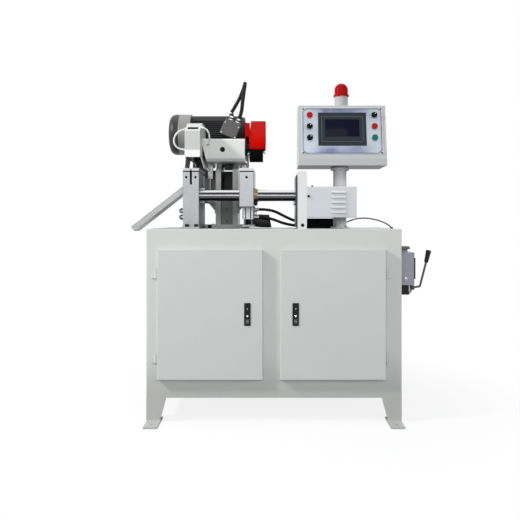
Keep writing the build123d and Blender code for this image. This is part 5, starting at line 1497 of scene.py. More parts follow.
@dataclass(frozen=True)
class Cabinet:
    """The cabinet that the saw stands on, with its feet, doors, latches and what is inside.

    Attributes:
        latches: The X of each latch, by the name of its side.
        studs: The height and radius of the key button and of the rivet on each handle.
        dome: The outline of a stud, with its radius as 1.
        ribs: The heights of the three ribs of the thumb pad.
        rib: The width, height and thickness of the grey strip on each rib, a painted highlight.
        rib_y: The front of the ribs.
    """

    latches: tuple[tuple[str, float], ...] = (("left", -119.0), ("right", 97.0))
    studs: tuple[Pair, ...] = ((481.0, 4.6), (513.0, 2.4))
    dome: Outline = ((0.0, -1.0), (1.0, -1.0), (1.0, 1.0), (0.8, 1.8), (0.0, 2.1))
    ribs: tuple[float, ...] = (451.25, 457.25, 463.25)
    rib: Point = (13.0, 1.4, 0.5)
    rib_y: float = -375.5

    def dress(self) -> None:
        """Gives the cabinet's nodes their finishes."""
        dress(POWDER_COAT, "cabinet_shell", "legs")
        dress(DOOR_COAT, "left_door", "right_door")
        dress(BLACK_PLASTIC, "left_latch", "right_latch", "left_latch_handle", "right_latch_handle")
        dress(DEVICE_PLASTIC, "electrical_plate")
        dress(TANK_STEEL, "coolant_unit")

    def build(self) -> None:
        """Makes the key buttons, rivets and rib strips of the latches; the grey rib strips are painted
        highlights.
        """
        for side, x in self.latches:
            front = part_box(f"{side}_latch_handle")[0].y / MM
            knobs = Solid()
            for height, radius in self.studs:
                dome = [(share * radius, rise) for share, rise in self.dome]
                knobs.lathe(dome, (x, front, height), Axis.FRONT, steps=28)
            knobs.piece(f"{side}_latch_key_button", f"{side}_handle", CHROME, "hard_chrome")
            # Grey strips on the ribs: painted highlights.
            strips = Solid()
            for height in self.ribs:
                strips.block(self.rib, (x, self.rib_y, height), Axis.FRONT, edge=0.2)
            strips.piece(f"{side}_latch_rib_highlight_strip", f"{side}_door", ZINC_STEEL, "dark_steel")


@dataclass(frozen=True)
class Vise:
    """The vise at the blade: slotted body, caps, moving jaw, their screws and the air fittings.

    Attributes:
        cap: The screws in the caps.
        front: The set screws in the front.
        foot: The screws in the foot.
        side_x: The left face, which carries the air fittings.
        side_y: The Y of the air fittings.
        side_z: Their heights.
        nut: Their hexagons.
        barrel: The outline of their barrels.
        collar: The outline of the ring at their ends.
    """

    cap: Rows = Rows((-400.75, -361.25), (-265.0, -165.0, -34.0), 1141.0, (5.2, 5.0))
    front: Rows = Rows((-402.0, -360.0), (-278.0,), 1106.0, (5.8, 9.0))
    foot: Rows = Rows((-397.0, -356.0), (-307.0,), 879.0, (9.0, 12.0))
    side_x: float = -418.0
    side_y: float = -80.0
    side_z: Pair = (955.0, 924.0)
    nut: Head = (12.0, 9.0)
    barrel: Outline = (
        (0.0, 8.0), (8.0, 8.0), (8.0, 22.0), (12.6, 23.0),
        (13.4, 25.0), (13.4, 38.0), (11.0, 42.0), (0.0, 42.0),
    )
    collar: Outline = (
        (4.0, 41.0), (8.0, 41.0), (8.0, 45.0), (7.0, 46.0),
        (5.0, 46.0), (4.0, 45.0), (4.0, 41.0),
    )

    def dress(self) -> None:
        """Gives the vise's nodes their finishes."""
        dress(GROUND_STEEL, "vise_body", "vise_jaw")
        dress(MILLED_CAP, "vise_caps")

    def build(self) -> None:
        """Makes the screws and the air fittings."""
        screws = self.front.add(self.cap.add(Solid()), Axis.FRONT)
        self.foot.add(screws).piece("vise_screws", "frame", BLACK_SCREW, "dark_steel")
        fittings = Solid()
        collars = Solid()
        for z in self.side_z:
            seat = (self.side_x, self.side_y, z)
            fittings.hexagon(seat, Axis.LEFT, self.nut)
            fittings.lathe(self.barrel, seat, Axis.LEFT, steps=12)
            collars.lathe(self.collar, seat, Axis.LEFT, steps=28)
        fittings.piece("vise_air_fittings", "frame", ZINC_STEEL, "dark_steel")
        collars.piece("vise_fitting_collars", "frame", DARK_STEEL, "dark_steel")


@dataclass(frozen=True)
class Feed:
    """The bar feed: guide rods, carriage, gripper, ball screw, end plate, servo motor and their cover.

    Attributes:
        cap: The screws in the carriage's cap.
        front: The set screw in the carriage's front.
        plate: The screws in the end plate's top.
        plate_bolt: The seat of the bolt in the end plate's front.
        bolt_head: Its head.
        cover_screws: The seat and direction of each screw in the drive's cover.
        cover_head: Their heads.
        stop: The Y and height of the travel stop.
        stop_x: The X of the carriage's face and of the keeper's face, which the stop stands on.
        stop_nut: The stop screw's nut.
        stop_knob: The outline of the stop screw's knob.
        pad_nut: The pad's hexagon.
        pad_tip: The outline of the pad's tip.
        axis: The Y and height of the feed screw.
        lead: The feed screw's lead.
        thread: The feed screw's outer and root radius.
        thread_x: Where its thread starts.
        turns: How many turns the thread makes.
        journal: The X of the plain end and of the coupling, and its end.
        coupling: The radius of the coupling.
        port_x: The X of the nuts on the cylinder's side and of the collars at the fittings' ends.
        port_y: The Y of the fittings.
        port_z: Their heights.
        port_heads: A nut and a collar of theirs.
        valve: The size of the block between the fittings.
        slot: The size of a cover over a sensor slot in the cylinder's front.
        slot_x: The X of the slots.
        slot_y: That front.
        guide: The outline of the hose guide behind the cylinder, in X and Z.
        guide_y: Its front and its back.
    """

    cap: Rows = Rows((-144.0, -108.0), (-265.0, -165.0, -34.0), 1141.0, (5.2, 5.0))
    front: Rows = Rows((-126.0,), (-278.0,), 1106.0, (5.8, 9.0))
    plate: Rows = Rows((128.0,), (-300.0, -155.0), 1123.0, (5.2, 5.0))
    plate_bolt: Point = (130.0, -316.0, 886.0)
    bolt_head: Head = (7.6, 10.0)
    cover_screws: tuple[tuple[Point, Axis], ...] = (
        ((174.0, -318.0, 1062.0), Axis.Z),
        ((157.0, -330.0, 1018.0), Axis.FRONT),
    )
    cover_head: Head = (5.6, 5.0)
    stop: Pair = (-281.0, 988.0)
    stop_x: Pair = (-93.0, 99.0)
    stop_nut: Head = (9.0, 5.0)
    stop_knob: Outline = (
        (0.0, 4.0), (11.0, 4.0), (12.0, 5.0), (12.0, 15.0),
        (11.0, 16.0), (5.0, 16.0), (4.0, 18.0), (0.0, 18.0),
    )
    pad_nut: Head = (10.0, 9.0)
    pad_tip: Outline = ((0.0, 8.0), (5.5, 8.0), (5.5, 11.0), (4.5, 12.0), (0.0, 12.0))
    axis: Pair = (-212.0, 1025.0)
    lead: float = 20.0
    thread: Pair = (10.0, 8.3)
    thread_x: float = -361.0
    turns: int = 22
    journal: Point = (98.0, 128.0, 148.0)
    coupling: float = 18.0
    port_x: Pair = (-98.0, -81.0)
    port_y: float = -80.0
    port_z: Pair = (924.0, 962.0)
    port_heads: tuple[Head, Head] = ((11.0, 6.0), (10.5, 5.0))
    valve: Point = (14.0, 24.0, 22.0)
    slot: Point = (4.0, 1.6, 54.0)
    slot_x: Pair = (-138.0, -114.0)
    slot_y: float = -108.0
    guide: Outline = (
        (-150.0, 924.0), (-76.0, 938.0), (-24.0, 936.0), (-12.0, 874.0),
        (-48.0, 873.0), (-90.0, 876.0), (-104.0, 880.0), (-150.0, 884.0),
    )
    guide_y: Pair = (-52.0, -38.0)

    def dress(self) -> None:
        """Gives the feed's nodes their finishes."""
        dress(CHROME_BAR, "guide_rods")
        dress(GROUND_STEEL, "carriage_body", "gripper_jaw")
        dress(MILLED_CAP, "carriage_cap")
        dress(BRONZE, "rod_bushes")
        dress(ALUMINIUM, "gripper_cylinder")
        dress(BRIGHT_PLATE, "end_plate")
        dress(BLACK_PAINT, "servo_motor")
        dress(COVER_COAT, "servo_cover")
        dress(KNOB_BLACK, "cable_box")

    def build(self) -> None:
        """Makes the screws, the stop, the feed screw and the cylinder's fittings."""
        self.screws()
        self.travel_stop()
        self.feed_screw()
        self.fittings()

    def screws(self) -> None:
        """Makes the screws of the carriage, the end plate and the cover."""
        solid = self.front.add(self.cap.add(Solid()), Axis.FRONT)
        solid.piece("carriage_screws", "carriage", BLACK_SCREW, "dark_steel")
        solid = self.plate.add(Solid())
        solid.cap_screw(self.plate_bolt, Axis.FRONT, self.bolt_head)
        for seat, axis in self.cover_screws:
            solid.cap_screw(seat, axis, self.cover_head)
        solid.piece("end_plate_screws", "frame", BLACK_SCREW, "dark_steel")

    def travel_stop(self) -> None:
        """Makes the stop screw on the carriage and the pad that it meets on the keeper."""
        moving, fixed = ((x, *self.stop) for x in self.stop_x)
        screw = Solid().hexagon(moving, Axis.X, self.stop_nut)
        screw.lathe(self.stop_knob, moving, Axis.X, steps=28)
        screw.piece("carriage_stop_screw", "carriage", BLACK_SCREW, "dark_steel")
        pad = Solid().hexagon(fixed, Axis.LEFT, self.pad_nut)
        pad.lathe(self.pad_tip, fixed, Axis.LEFT, steps=24)
        pad.piece("keeper_stop_pad", "frame", ZINC_STEEL, "dark_steel")

    def feed_screw(self) -> None:
        """Makes the threaded feed screw with its journal and coupling."""
        solid = Solid().thread(self.thread, self.lead, self.turns, (self.thread_x, *self.axis), Axis.X)
        start, step, end = self.journal
        plain = self.thread[1]
        journal = ((0.0, 0.0), (plain, 0.0), (plain, step - start))
        coupling = ((self.coupling, step - start), (self.coupling, end - start), (0.0, end - start))
        solid.lathe(journal + coupling, (start, *self.axis), Axis.X)
        made = solid.piece("feed_screw_thread", "feed_screw", SCREW_STEEL, "hard_chrome")
        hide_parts("ball_screw")

    def fittings(self) -> None:
        """Makes the cylinder's air fittings, the covers of its slots and the guide for its hoses."""
        solid = Solid()
        for z in self.port_z:
            for x, head in zip(self.port_x, self.port_heads):
                solid.hexagon((x, self.port_y, z), Axis.X, head)
        height = sum(self.port_z) / 2
        solid.block(self.valve, (self.port_x[0] + self.valve[0] / 2, self.port_y, height), Axis.Z, edge=1.5)
        solid.piece("gripper_fittings", "carriage", ZINC_STEEL, "bare_aluminium")
        # Black strips over the cylinder's slots: partly slot covers, partly painted shade in the slots.
        solid = Solid()
        for x in self.slot_x:
            solid.block(self.slot, (x, self.slot_y, height), Axis.Z, edge=0.4)
        solid.piece("cylinder_slot_covers", "carriage", BLACK_PLASTIC, "black_plastic")
        front, back = self.guide_y
        solid = Solid().prism(self.guide, back - front, (0.0, back, 0.0), Axis.FRONT)
        solid.piece("hose_guide", "carriage", BLACK_PLASTIC, "black_plastic")


@dataclass(frozen=True)
class SawHead:
    """The swinging head on its column: gear case, blade, motor, belt drive and guards.

    Attributes:
        base: The bolts in the column's base.
        table_bolt: The seat of the bolt on the table beside the column.
        table_head: Its head.
        table_turn: How far that head is turned, in radians.
        strip: The size of the strip on top of the column's rear wall.
        strip_at: Its middle.
        motor: The Y and height of the motor's axis.
        shield_x: The X of the end shield's foot.
        shield: The outline of the end shield.
        shield_bolts: The seat of its bolts along X, and the radius of their circle.
        shield_head: Their heads.
        cowl_x: The X of the band round the cowl.
        band: The outline of that band.
        feet: The bolts in the motor's feet.
        drive: The Y and height of the driven shaft.
        seal_x: The X of the gear case's right face, which the seal cover stands on.
        seal: The outline of the seal cover.
        plug: The middle of the oil plug's recess in the gear case's front.
        plug_seats: How far behind that the plug and its ring sit.
        plug_head: The plug's head.
        plug_ring: The outline of its ring.
        box: The middle of the terminal box.
        box_turn: How far the terminal box is turned, in radians.
        lid: Half the spread of the lid's screws, and the lid's front in Y.
        lid_head: Their heads.
        glands: The glands' place along the box, their Y and their seats.
        gland_nuts: The lower and the upper nut of a gland.
        sheet: The sides, the Y, and the foot and top of the dark sheet that hangs behind the blade, a painted
            shade.
        plate: The same of the dark plate on the column's cheek, behind the left cylinder, a painted shade.
        plate_bolts: How far its bolts stand behind its face and from its ends.
        plate_head: Their heads.
        fold: The thickness of both sheets and the width of their folded edges.
        knob: The foot of the knob on the lower belt cover.
        grip: The outline of that knob.
        hose_ends: The foot of each hose fitting and where it points.
        hose_body: The outline of a hose fitting.
        hose_nut: Its hexagon.
    """

    base: Rows = Rows((-322.0, -151.0), (136.0, 210.0), 878.0, (6.6, 12.0))
    table_bolt: Point = (-319.0, -42.0, 870.0)
    table_head: Head = (9.5, 13.0)
    table_turn: float = 0.3
    strip: Point = (58.6, 11.0, 14.0)
    strip_at: Point = (-236.5, 209.5, 1162.0)
    motor: Pair = (145.0, 1356.0)
    shield_x: float = -168.5
    shield: Outline = (
        (14.0, 0.0), (90.0, 0.0), (92.0, 2.0), (92.0, 13.5), (86.0, 18.5), (62.0, 18.5),
        (58.0, 21.5), (54.0, 39.5), (52.0, 41.5), (14.0, 41.5), (14.0, 0.0),
    )
    shield_bolts: Pair = (-150.0, 75.0)
    shield_head: Head = (5.5, 5.0)
    cowl_x: float = -486.0
    band: Outline = (
        (103.0, -3.0), (105.6, -3.0), (106.2, -2.2), (106.2, 2.2),
        (105.6, 3.0), (103.0, 3.0), (103.0, -3.0),
    )
    feet: Rows = Rows((-371.0, -213.0), (83.0, 207.0), 1263.0, (7.0, 6.0))
    drive: Pair = (-58.0, 1262.17)
    seal_x: float = -141.0
    seal: Outline = (
        (13.0, 0.0), (36.0, 0.0), (36.0, 8.0), (34.0, 10.0), (24.0, 10.0),
        (22.0, 12.0), (22.0, 17.0), (20.0, 18.0), (13.0, 18.0), (13.0, 0.0),
    )
    plug: Point = (-248.0, -140.0, 1250.0)
    plug_seats: Pair = (1.5, 6.0)
    plug_head: Head = (7.6, 4.6)
    plug_ring: Outline = ((7.4, 0.0), (11.9, 0.0), (11.9, 2.4), (10.8, 3.0), (7.4, 3.0), (7.4, 0.0))
    box: Point = (-219.0, 45.0, 1358.0)
    box_turn: float = math.radians(22.0)
    lid: Point = (36.0, 26.0, -85.0)
    lid_head: Head = (3.2, 2.4)
    glands: tuple[float, float, float, float] = (18.0, -45.0, 48.0, 62.0)
    gland_nuts: tuple[Head, Head] = ((15.0, 7.0), (13.2, 8.0))
    sheet: tuple[Pair, float, Pair] = ((-416.0, -344.0), 64.0, (1136.0, 1241.0))
    plate: tuple[Pair, float, Pair] = ((-364.0, -292.0), 74.0, (1026.0, 1164.0))
    plate_bolts: Pair = (14.0, 20.0)
    plate_head: Head = (5.5, 4.0)
    fold: Pair = (3.0, 26.0)
    knob: Point = (-54.0, -82.0, 1243.0)
    grip: Outline = (
        (0.0, 0.0), (4.0, 0.0), (4.0, 3.0), (8.0, 4.0),
        (10.0, 6.5), (10.0, 10.0), (8.0, 12.5), (0.0, 13.0),
    )
    hose_ends: tuple[tuple[Point, Point], ...] = (
        ((-418.0, -190.0, 1340.0), (-1.0, 0.0, -0.09)),
        ((-418.0, -190.0, 1243.0), (-1.0, 0.0, 0.04)),
        ((-346.0, -172.0, 1350.0), (1.0, 0.0, -0.11)),
        ((-316.0, -141.0, 1272.0), (0.21, -0.85, 0.49)),
    )
    hose_body: Outline = (
        (0.0, 0.0), (7.5, 0.0), (7.5, 2.0), (6.0, 2.5),
        (6.0, 10.0), (5.2, 12.0), (0.0, 12.0),
    )
    hose_nut: Head = (8.0, 5.0)

    def dress(self) -> None:
        """Gives the head's nodes their finishes."""
        dress(COLUMN_ENAMEL, "saw_column")
        dress(DARK_STEEL, "pivot_shaft", "input_shaft", "motor_rotor", "spindle")
        dress(CASE_ENAMEL, "gear_case", "motor_plate")
        dress(BLADE_STEEL, "saw_blade")
        dress(BELT_RUBBER, "drive_belt")
        dress(RED_ENAMEL, "belt_guard")
        dress(DULL_ALUMINIUM, "feed_cylinders")
        dress(ROD_CHROME, "feed_rods")
        dress(MOTOR_ENAMEL, "motor_frame")
        dress(COWL_ENAMEL, "motor_cowl")
        dress(TERMINAL_ENAMEL, "terminal_box")
        dress(GUARD_COAT, "blade_guard")

    def build(self) -> None:
        """Makes the bolts, the sheets, the motor's end shield and the fittings of the head."""
        self.bolts()
        self.sheets()
        self.shields()
        self.terminal()
        self.small_fittings()

    def bolts(self) -> None:
        """Makes the bolts of the column, the table and the motor's feet, and the strip on the column."""
        solid = self.base.add(Solid())
        solid.hex_bolt(self.table_bolt, Axis.Z, self.table_head, self.table_turn)
        solid.piece("column_bolts", "frame", BLACK_SCREW, "dark_steel")
        # The strip stands inside the column's hollow, where its enamel takes the painted shade.
        strip = Solid().block(self.strip, self.strip_at, Axis.Z, edge=1.0)
        strip.piece("column_wall_strip", "frame", COLUMN_ENAMEL, "column_paint")
        solid = Solid()
        for place in self.feet.places():
            solid.hex_bolt(place, Axis.Z, self.feet.head)
        solid.piece("motor_foot_bolts", "head", ZINC_STEEL, "dark_steel")

    def folded(self, sheet: tuple[Pair, float, Pair], fold_x: Pair, fold_z: Pair) -> Solid:
        """A sheet that faces the front, with one edge folded back.

        Args:
            sheet: Its sides, the middle of its thickness, and its foot and top.
            fold_x: The sides of the folded edge.
            fold_z: The foot and the top of the folded edge.

        Returns:
            The sheet.
        """
        x, y, z = sheet
        thick, width = self.fold
        solid = Solid().span(x, (y - thick / 2, y + thick / 2), z, edge=0.6)
        return solid.span(fold_x, (y, y + width), fold_z, edge=0.6)

    def sheets(self) -> None:
        """Makes the dark sheet behind the blade and the dark plate on the column's cheek, both painted shade.
        """
        thick = self.fold[0]
        sides, _, (_, top) = self.sheet
        # Painted shade: a dark sheet behind the blade.
        sheet = self.folded(self.sheet, sides, (top - thick, top))
        sheet.piece("blade_rear_shade_sheet", "head", SHADE_SHEET, "guard_paint")
        # Painted shade: a dark plate beside the column.
        (_, side), y, (low, high) = self.plate
        plate = self.folded(self.plate, (side - thick, side), (low, high))
        behind, inward = self.plate_bolts
        for height in (low + inward, high - inward):
            plate.hex_bolt((side - thick, y + behind, height), Axis.LEFT, self.plate_head)
        plate.piece("column_side_shade_plate", "frame", SHADE_SHEET, "guard_paint")

    def shields(self) -> None:
        """Makes the motor's end shield, the band of its cowl and the cover of the driven shaft's seal."""
        y, z = self.motor
        solid = Solid().lathe(self.shield, (self.shield_x, y, z), Axis.X, steps=48)
        seat, radius = self.shield_bolts
        for across, up in bolt_circle(radius):
            solid.hex_bolt((seat, y + across, z + up), Axis.X, self.shield_head)
        solid.piece("motor_end_shield", "head", MOTOR_SHIELD, "motor_grey")
        band = Solid().lathe(self.band, (self.cowl_x, y, z), Axis.X, steps=64)
        band.piece("cowl_band", "head", DULL_ALUMINIUM, "motor_grey")
        cover = Solid().lathe(self.seal, (self.seal_x, *self.drive), Axis.X, steps=36)
        cover.piece("shaft_seal_cover", "head", BLACK_PAINT, "dark_steel")

    def turned(self, along: float, across: float, up: float) -> Point:
        """A point of the turned terminal box.

        Args:
            along: How far it lies along the box, from its middle.
            across: How far it lies behind the middle.
            up: How far it lies above the middle, in the box's own lean.

        Returns:
            The point.
        """
        cosine = math.cos(self.box_turn)
        sine = math.sin(self.box_turn)
        x, y, z = self.box
        return (x + along * cosine + up * sine, y + across, z - along * sine + up * cosine)

    def terminal(self) -> None:
        """Makes the lid screws and the gland nuts of the terminal box."""
        reach, rise, front = self.lid
        corners = [self.turned(along, front, up) for along in (-reach, reach) for up in (-rise, rise)]
        solid = Solid().cap_screws(corners, Axis.FRONT, self.lid_head)
        aim = (math.sin(self.box_turn), 0.0, math.cos(self.box_turn))
        along, across, *seats = self.glands
        for side in (-along, along):
            for seat, nut in zip(seats, self.gland_nuts):
                solid.hexagon(self.turned(side, across, seat), aim, nut)
        solid.piece("terminal_box_screws", "head", ZINC_STEEL, "dark_steel")

    def small_fittings(self) -> None:
        """Makes the oil plug, the knob of the belt cover and the ends of the hoses."""
        x, y, z = self.plug
        plug, ring = self.plug_seats
        solid = Solid().cap_screw((x, y + plug, z), Axis.FRONT, self.plug_head)
        solid.lathe(self.plug_ring, (x, y + ring, z), Axis.FRONT)
        solid.piece("gear_case_plug", "head", BLACK_SCREW, "dark_steel")
        knob = Solid().lathe(self.grip, self.knob, Axis.X)
        knob.piece("belt_cover_knob", "head", CHROME, "dark_steel")
        solid = Solid()
        for foot, aim in self.hose_ends:
            solid.lathe(self.hose_body, foot, aim, steps=24)
            solid.hexagon(foot, aim, self.hose_nut)
        solid.piece("coolant_fittings", "head", BRASS, "dark_steel")


@dataclass(frozen=True)
class ControlPanel:
    """The sloping operator panel on its post, with its screen, buttons and beacon.

    Attributes:
        middle: The middle of the sloping face.
        slope: How far the face leans back, in radians.
        screen: The width, height and thickness of the screen's glass.
        screen_at: Its place up the face and its back.
        rim: The width and height of the line round the screen.
        rim_bars: The width and thickness of that line.
        rim_at: Its place up the face and its back.
        corner: Where the corner screws stand on the face, across and up.
        corner_head: Their heads.
        plate: The front of the face plate.
        selectors: The place of each selector on the face, by name.
        pointer: How far the white mark stands from the middle of a selector, and its height.
        mark: The width, length and thickness of that mark.
        post: The X and Y of the post.
        flange: The radius of the flange bolts' circle, and the flanges' faces.
        flange_bolt: The heads on the lower flange.
        flange_screw: The heads under the upper flange.
    """

    middle: Point = (315.5, -266.5, 1322.0)
    slope: float = PANEL_SLOPE
    screen: Point = (157.2, 83.2, 0.7)
    screen_at: Pair = (11.6, 7.8)
    rim: Pair = (192.0, 123.0)
    rim_bars: Pair = (2.4, 1.2)
    rim_at: Pair = (7.0, 8.2)
    corner: Pair = (180.0, 106.5)
    corner_head: Head = (3.8, 1.8)
    plate: float = 2.0
    selectors: tuple[tuple[str, float, float], ...] = (
        ("left_upper_selector", -150.0, 21.0),
        ("left_lower_selector", -150.0, -34.0),
        ("right_selector", 150.0, 76.0),
    )
    pointer: Pair = (7.4, 18.0)
    mark: Point = (2.4, 9.5, 0.8)
    post: Pair = (315.5, -150.0)
    flange: Point = (38.0, 878.0, 1146.0)
    flange_bolt: Head = (4.2, 4.0)
    flange_screw: Head = (3.6, 3.6)

    def dress(self) -> None:
        """Gives the panel's nodes their finishes."""
        dress(POST_COAT, "panel_post")
        dress(PANEL_COAT, "panel_box")
        dress(PANEL_FACE, "panel_faceplate")
        dress(SCREEN_MOULDING, "hmi")
        dress(RED_BUTTON, "left_red_button", "right_red_button")
        dress(GREEN_BUTTON, "green_button")
        dress(KNOB_BLACK, "left_upper_selector", "left_lower_selector", "right_selector")
        dress(BEACON_MOULDING, "beacon_base")
        dress(RED_LENS, "beacon_dome")

    @property
    def out(self) -> Vector:
        """Where the sloping face points."""
        return Vector((0.0, -math.cos(self.slope), math.sin(self.slope)))

    def on_face(self, across: float, up: float, out: float) -> Point:
        """A point of the sloping face.

        Args:
            across: How far it lies to the right of the face's middle.
            up: How far it lies up the slope.
            out: How far it stands out of the face.

        Returns:
            The point.
        """
        x, y, z = self.middle
        sine = math.sin(self.slope)
        cosine = math.cos(self.slope)
        return (x + across, y + up * sine - out * cosine, z + up * cosine + out * sine)

    def build(self) -> None:
        """Makes the screen, the screws, the marks of the selectors and the bolts of the post."""
        up, back = self.screen_at
        middle = self.on_face(0.0, up, back + self.screen[2] / 2)
        glass = Solid().block(self.screen, middle, self.out, edge=0.2)
        glass.piece("screen_glass", "frame", SCREEN_GLASS, "screen_grey")
        rim = Solid().frame(self.rim, self.rim_bars, self.on_face(0.0, *self.rim_at), self.out)
        rim.piece("screen_rim_line", "frame", SCREEN_RIM, "screen_grey")
        across, up = self.corner
        corners = [self.on_face(side, end, self.plate) for side in (-across, across) for end in (-up, up)]
        screws = Solid().cap_screws(corners, self.out, self.corner_head)
        screws.piece("panel_corner_screws", "frame", BLACK_SCREW, "dark_steel")
        reach, top = self.pointer
        shift = reach * math.sqrt(0.5)
        for name, across, up in self.selectors:
            place = self.on_face(across + shift, up + shift, top)
            mark = Solid().block(self.mark, place, self.out, edge=0.2, turn=-math.pi / 4)
            mark.piece(f"{name}_mark", name, WHITE_MARK, "beacon_grey")
        self.flange_bolts()

    def flange_bolts(self) -> None:
        """Makes the bolts in the post's two flanges."""
        radius, low, high = self.flange
        x, y = self.post
        solid = Solid()
        for right, back in bolt_circle(radius):
            solid.hex_bolt((x + right, y + back, low), Axis.Z, self.flange_bolt)
            solid.cap_screw((x + right, y + back, high), Axis.DOWN, self.flange_screw)
        solid.piece("post_flange_bolts", "frame", BLACK_SCREW, "dark_steel")


@dataclass(frozen=True)
class Lubricator:
    """The hand pump for oil on the cabinet's right side.

    Attributes:
        lid: The foot of the filler lid.
        dome: The outline of the filler lid.
        plug: The seat of the sight plug.
        plug_head: Its head.
        glass: The size of the level glass on the tank's side.
        glass_at: Its middle.
        union: The foot of the outlet union on the pump.
        union_nut: Its hexagon.
        union_stem: The outline of its stem.
    """

    lid: Point = (609.0, -210.0, 773.0)
    dome: Outline = (
        (0.0, 0.0), (30.0, 0.0), (31.5, 2.0), (31.5, 6.0),
        (30.0, 10.0), (27.0, 13.8), (14.0, 16.0), (0.0, 16.4),
    )
    plug: Point = (609.0, -273.0, 639.0)
    plug_head: Head = (7.0, 4.0)
    glass: Point = (4.6, 11.0, 98.0)
    glass_at: Point = (652.4, -261.0, 686.0)
    union: Point = (627.0, -257.0, 574.0)
    union_nut: Head = (6.0, 18.0)
    union_stem: Outline = ((0.0, 17.0), (4.2, 17.0), (4.2, 34.0), (0.0, 34.0))

    def dress(self) -> None:
        """Gives the lubricator's nodes their finishes."""
        dress(TANK_PAINT, "lubricator_housing")
        dress(BLACK_PAINT, "lubricator_pump")
        dress(LEVER_PAINT, "lubricator_lever")

    def build(self) -> None:
        """Makes the filler lid, the plug, the level glass and the outlet union."""
        lid = Solid().lathe(self.dome, self.lid, Axis.Z, steps=40)
        lid.piece("filler_lid", "frame", LID_GREY, "black_plastic")
        plug = Solid().hex_bolt(self.plug, Axis.FRONT, self.plug_head, math.pi / 6)
        plug.piece("sight_plug", "frame", ZINC_STEEL, "dark_steel")
        glass = Solid().block(self.glass, self.glass_at, Axis.Z, edge=1.0)
        glass.piece("level_glass", "frame", SCREEN_GLASS, "black_plastic")
        union = Solid().hexagon(self.union, Axis.Z, self.union_nut)
        union.lathe(self.union_stem, self.union, Axis.Z, steps=20)
        union.piece("pump_outlet_union", "frame", ZINC_STEEL, "dark_steel")


@dataclass(frozen=True)
class Chute:
    """The sheet chute that cut pieces slide down, and the sleeve where the panel's cable enters the table.

    Attributes:
        sleeve: The foot of the cable sleeve on the table.
        lip: The outline of the cable sleeve.
    """

    sleeve: Point = (566.0, -142.0, 870.0)
    lip: Outline = (
        (3.0, 0.0), (7.5, 0.0), (7.5, 2.0), (6.2, 5.0),
        (4.2, 6.0), (3.0, 5.0), (3.0, 0.0),
    )

    def dress(self) -> None:
        """Gives the chute its finish."""
        dress(SHEET_STEEL, "discharge_chute")

    def build(self) -> None:
        """Makes the cable sleeve."""
        sleeve = Solid().lathe(self.lip, self.sleeve, Axis.Z, steps=24)
        sleeve.piece("cable_sleeve", "frame", GRIP_RUBBER, "black_plastic")


HOSES = (
    Hose(
        "motor_conduit", "conduit_loop", 20.0, "head", HOSE_RUBBER, "hose_black",
        (
            (-175.2, 0.0, 1418.3), (-163.0, 0.0, 1448.5), (-158.0, -6.0, 1500.0),
            (-151.0, 4.0, 1560.0), (-147.0, 36.0, 1606.0), (-150.0, 88.0, 1608.0),
            (-165.0, 124.0, 1576.0), (-186.0, 131.0, 1530.0), (-222.0, 135.0, 1471.3),
        ),
        "stiff",
        rib=4.5,
    ),
    Hose(
        "coolant_feed_hose", "coolant_hose", 8.0, "head", WHITE_HOSE, "hose_white",
        (
            (-418.3, -190.0, 1340.0), (-440.0, -190.0, 1338.0), (-466.0, -190.0, 1318.0),
            (-477.0, -190.0, 1288.0), (-468.0, -190.0, 1260.0), (-444.0, -190.0, 1244.0),
            (-418.3, -190.0, 1243.0),
        ),
    ),
    Hose(
        "coolant_case_hose", "coolant_hose", 8.0, "head", WHITE_HOSE, "hose_white",
        (
            (-345.7, -172.0, 1350.0), (-328.0, -172.0, 1348.0), (-312.0, -174.0, 1330.0),
            (-307.0, -173.0, 1303.0), (-311.0, -162.0, 1283.0), (-316.0, -143.5, 1272.0),
        ),
    ),
    Hose(
        "panel_supply_cable", "panel_cable", 7.0, "frame", CABLE_JACKET, "hose_grey",
        (
            (309.0, -50.0, 890.0), (340.0, -50.0, 890.0), (385.0, -66.0, 912.0),
            (432.0, -86.0, 921.0), (485.0, -110.0, 915.0), (528.0, -130.0, 900.0),
            (553.0, -139.0, 886.0), (566.0, -142.0, 872.3),
        ),
    ),
    Hose(
        "gripper_upper_hose", "carriage_hose", 14.0, "carriage", HOSE_RUBBER, "hose_black",
        (
            (-74.0, -80.0, 962.0), (-44.0, -80.0, 962.0), (0.0, -76.0, 955.0), (45.0, -66.0, 932.0),
            (95.0, -52.0, 908.0), (130.0, -44.0, 902.0), (151.0, -44.0, 902.0),
        ),
        to_body="frame",
    ),
    Hose(
        "gripper_lower_hose", "carriage_hose", 14.0, "carriage", HOSE_RUBBER, "hose_black",
        (
            (-74.0, -80.0, 924.0), (-44.0, -80.0, 924.0), (0.0, -78.0, 912.0), (48.0, -72.0, 893.0),
            (100.0, -64.0, 883.0), (132.0, -62.0, 882.0), (151.0, -62.0, 882.0),
        ),
        to_body="frame",
    ),
)


@dataclass(frozen=True)
class Lamp:
    """A soft square lamp.

    Attributes:
        name: Its name.
        place: Where it stands, in metres.
        aim: How high it points, above the middle of the floor, in metres.
        size: The length of its side in metres.
        power: Its power in watts.
    """

    name: str
    place: Point
    aim: float
    size: float
    power: float

    def build(self) -> None:
        """Puts up the lamp."""
        data = bpy.data.lights.new(self.name, "AREA")
        data.size = self.size
        data.energy = self.power
        made = put(self.name, data)
        made.location = self.place
        way = Vector((0.0, 0.0, self.aim)) - Vector(self.place)
        made.rotation_euler = way.to_track_quat("-Z", "Y").to_euler()


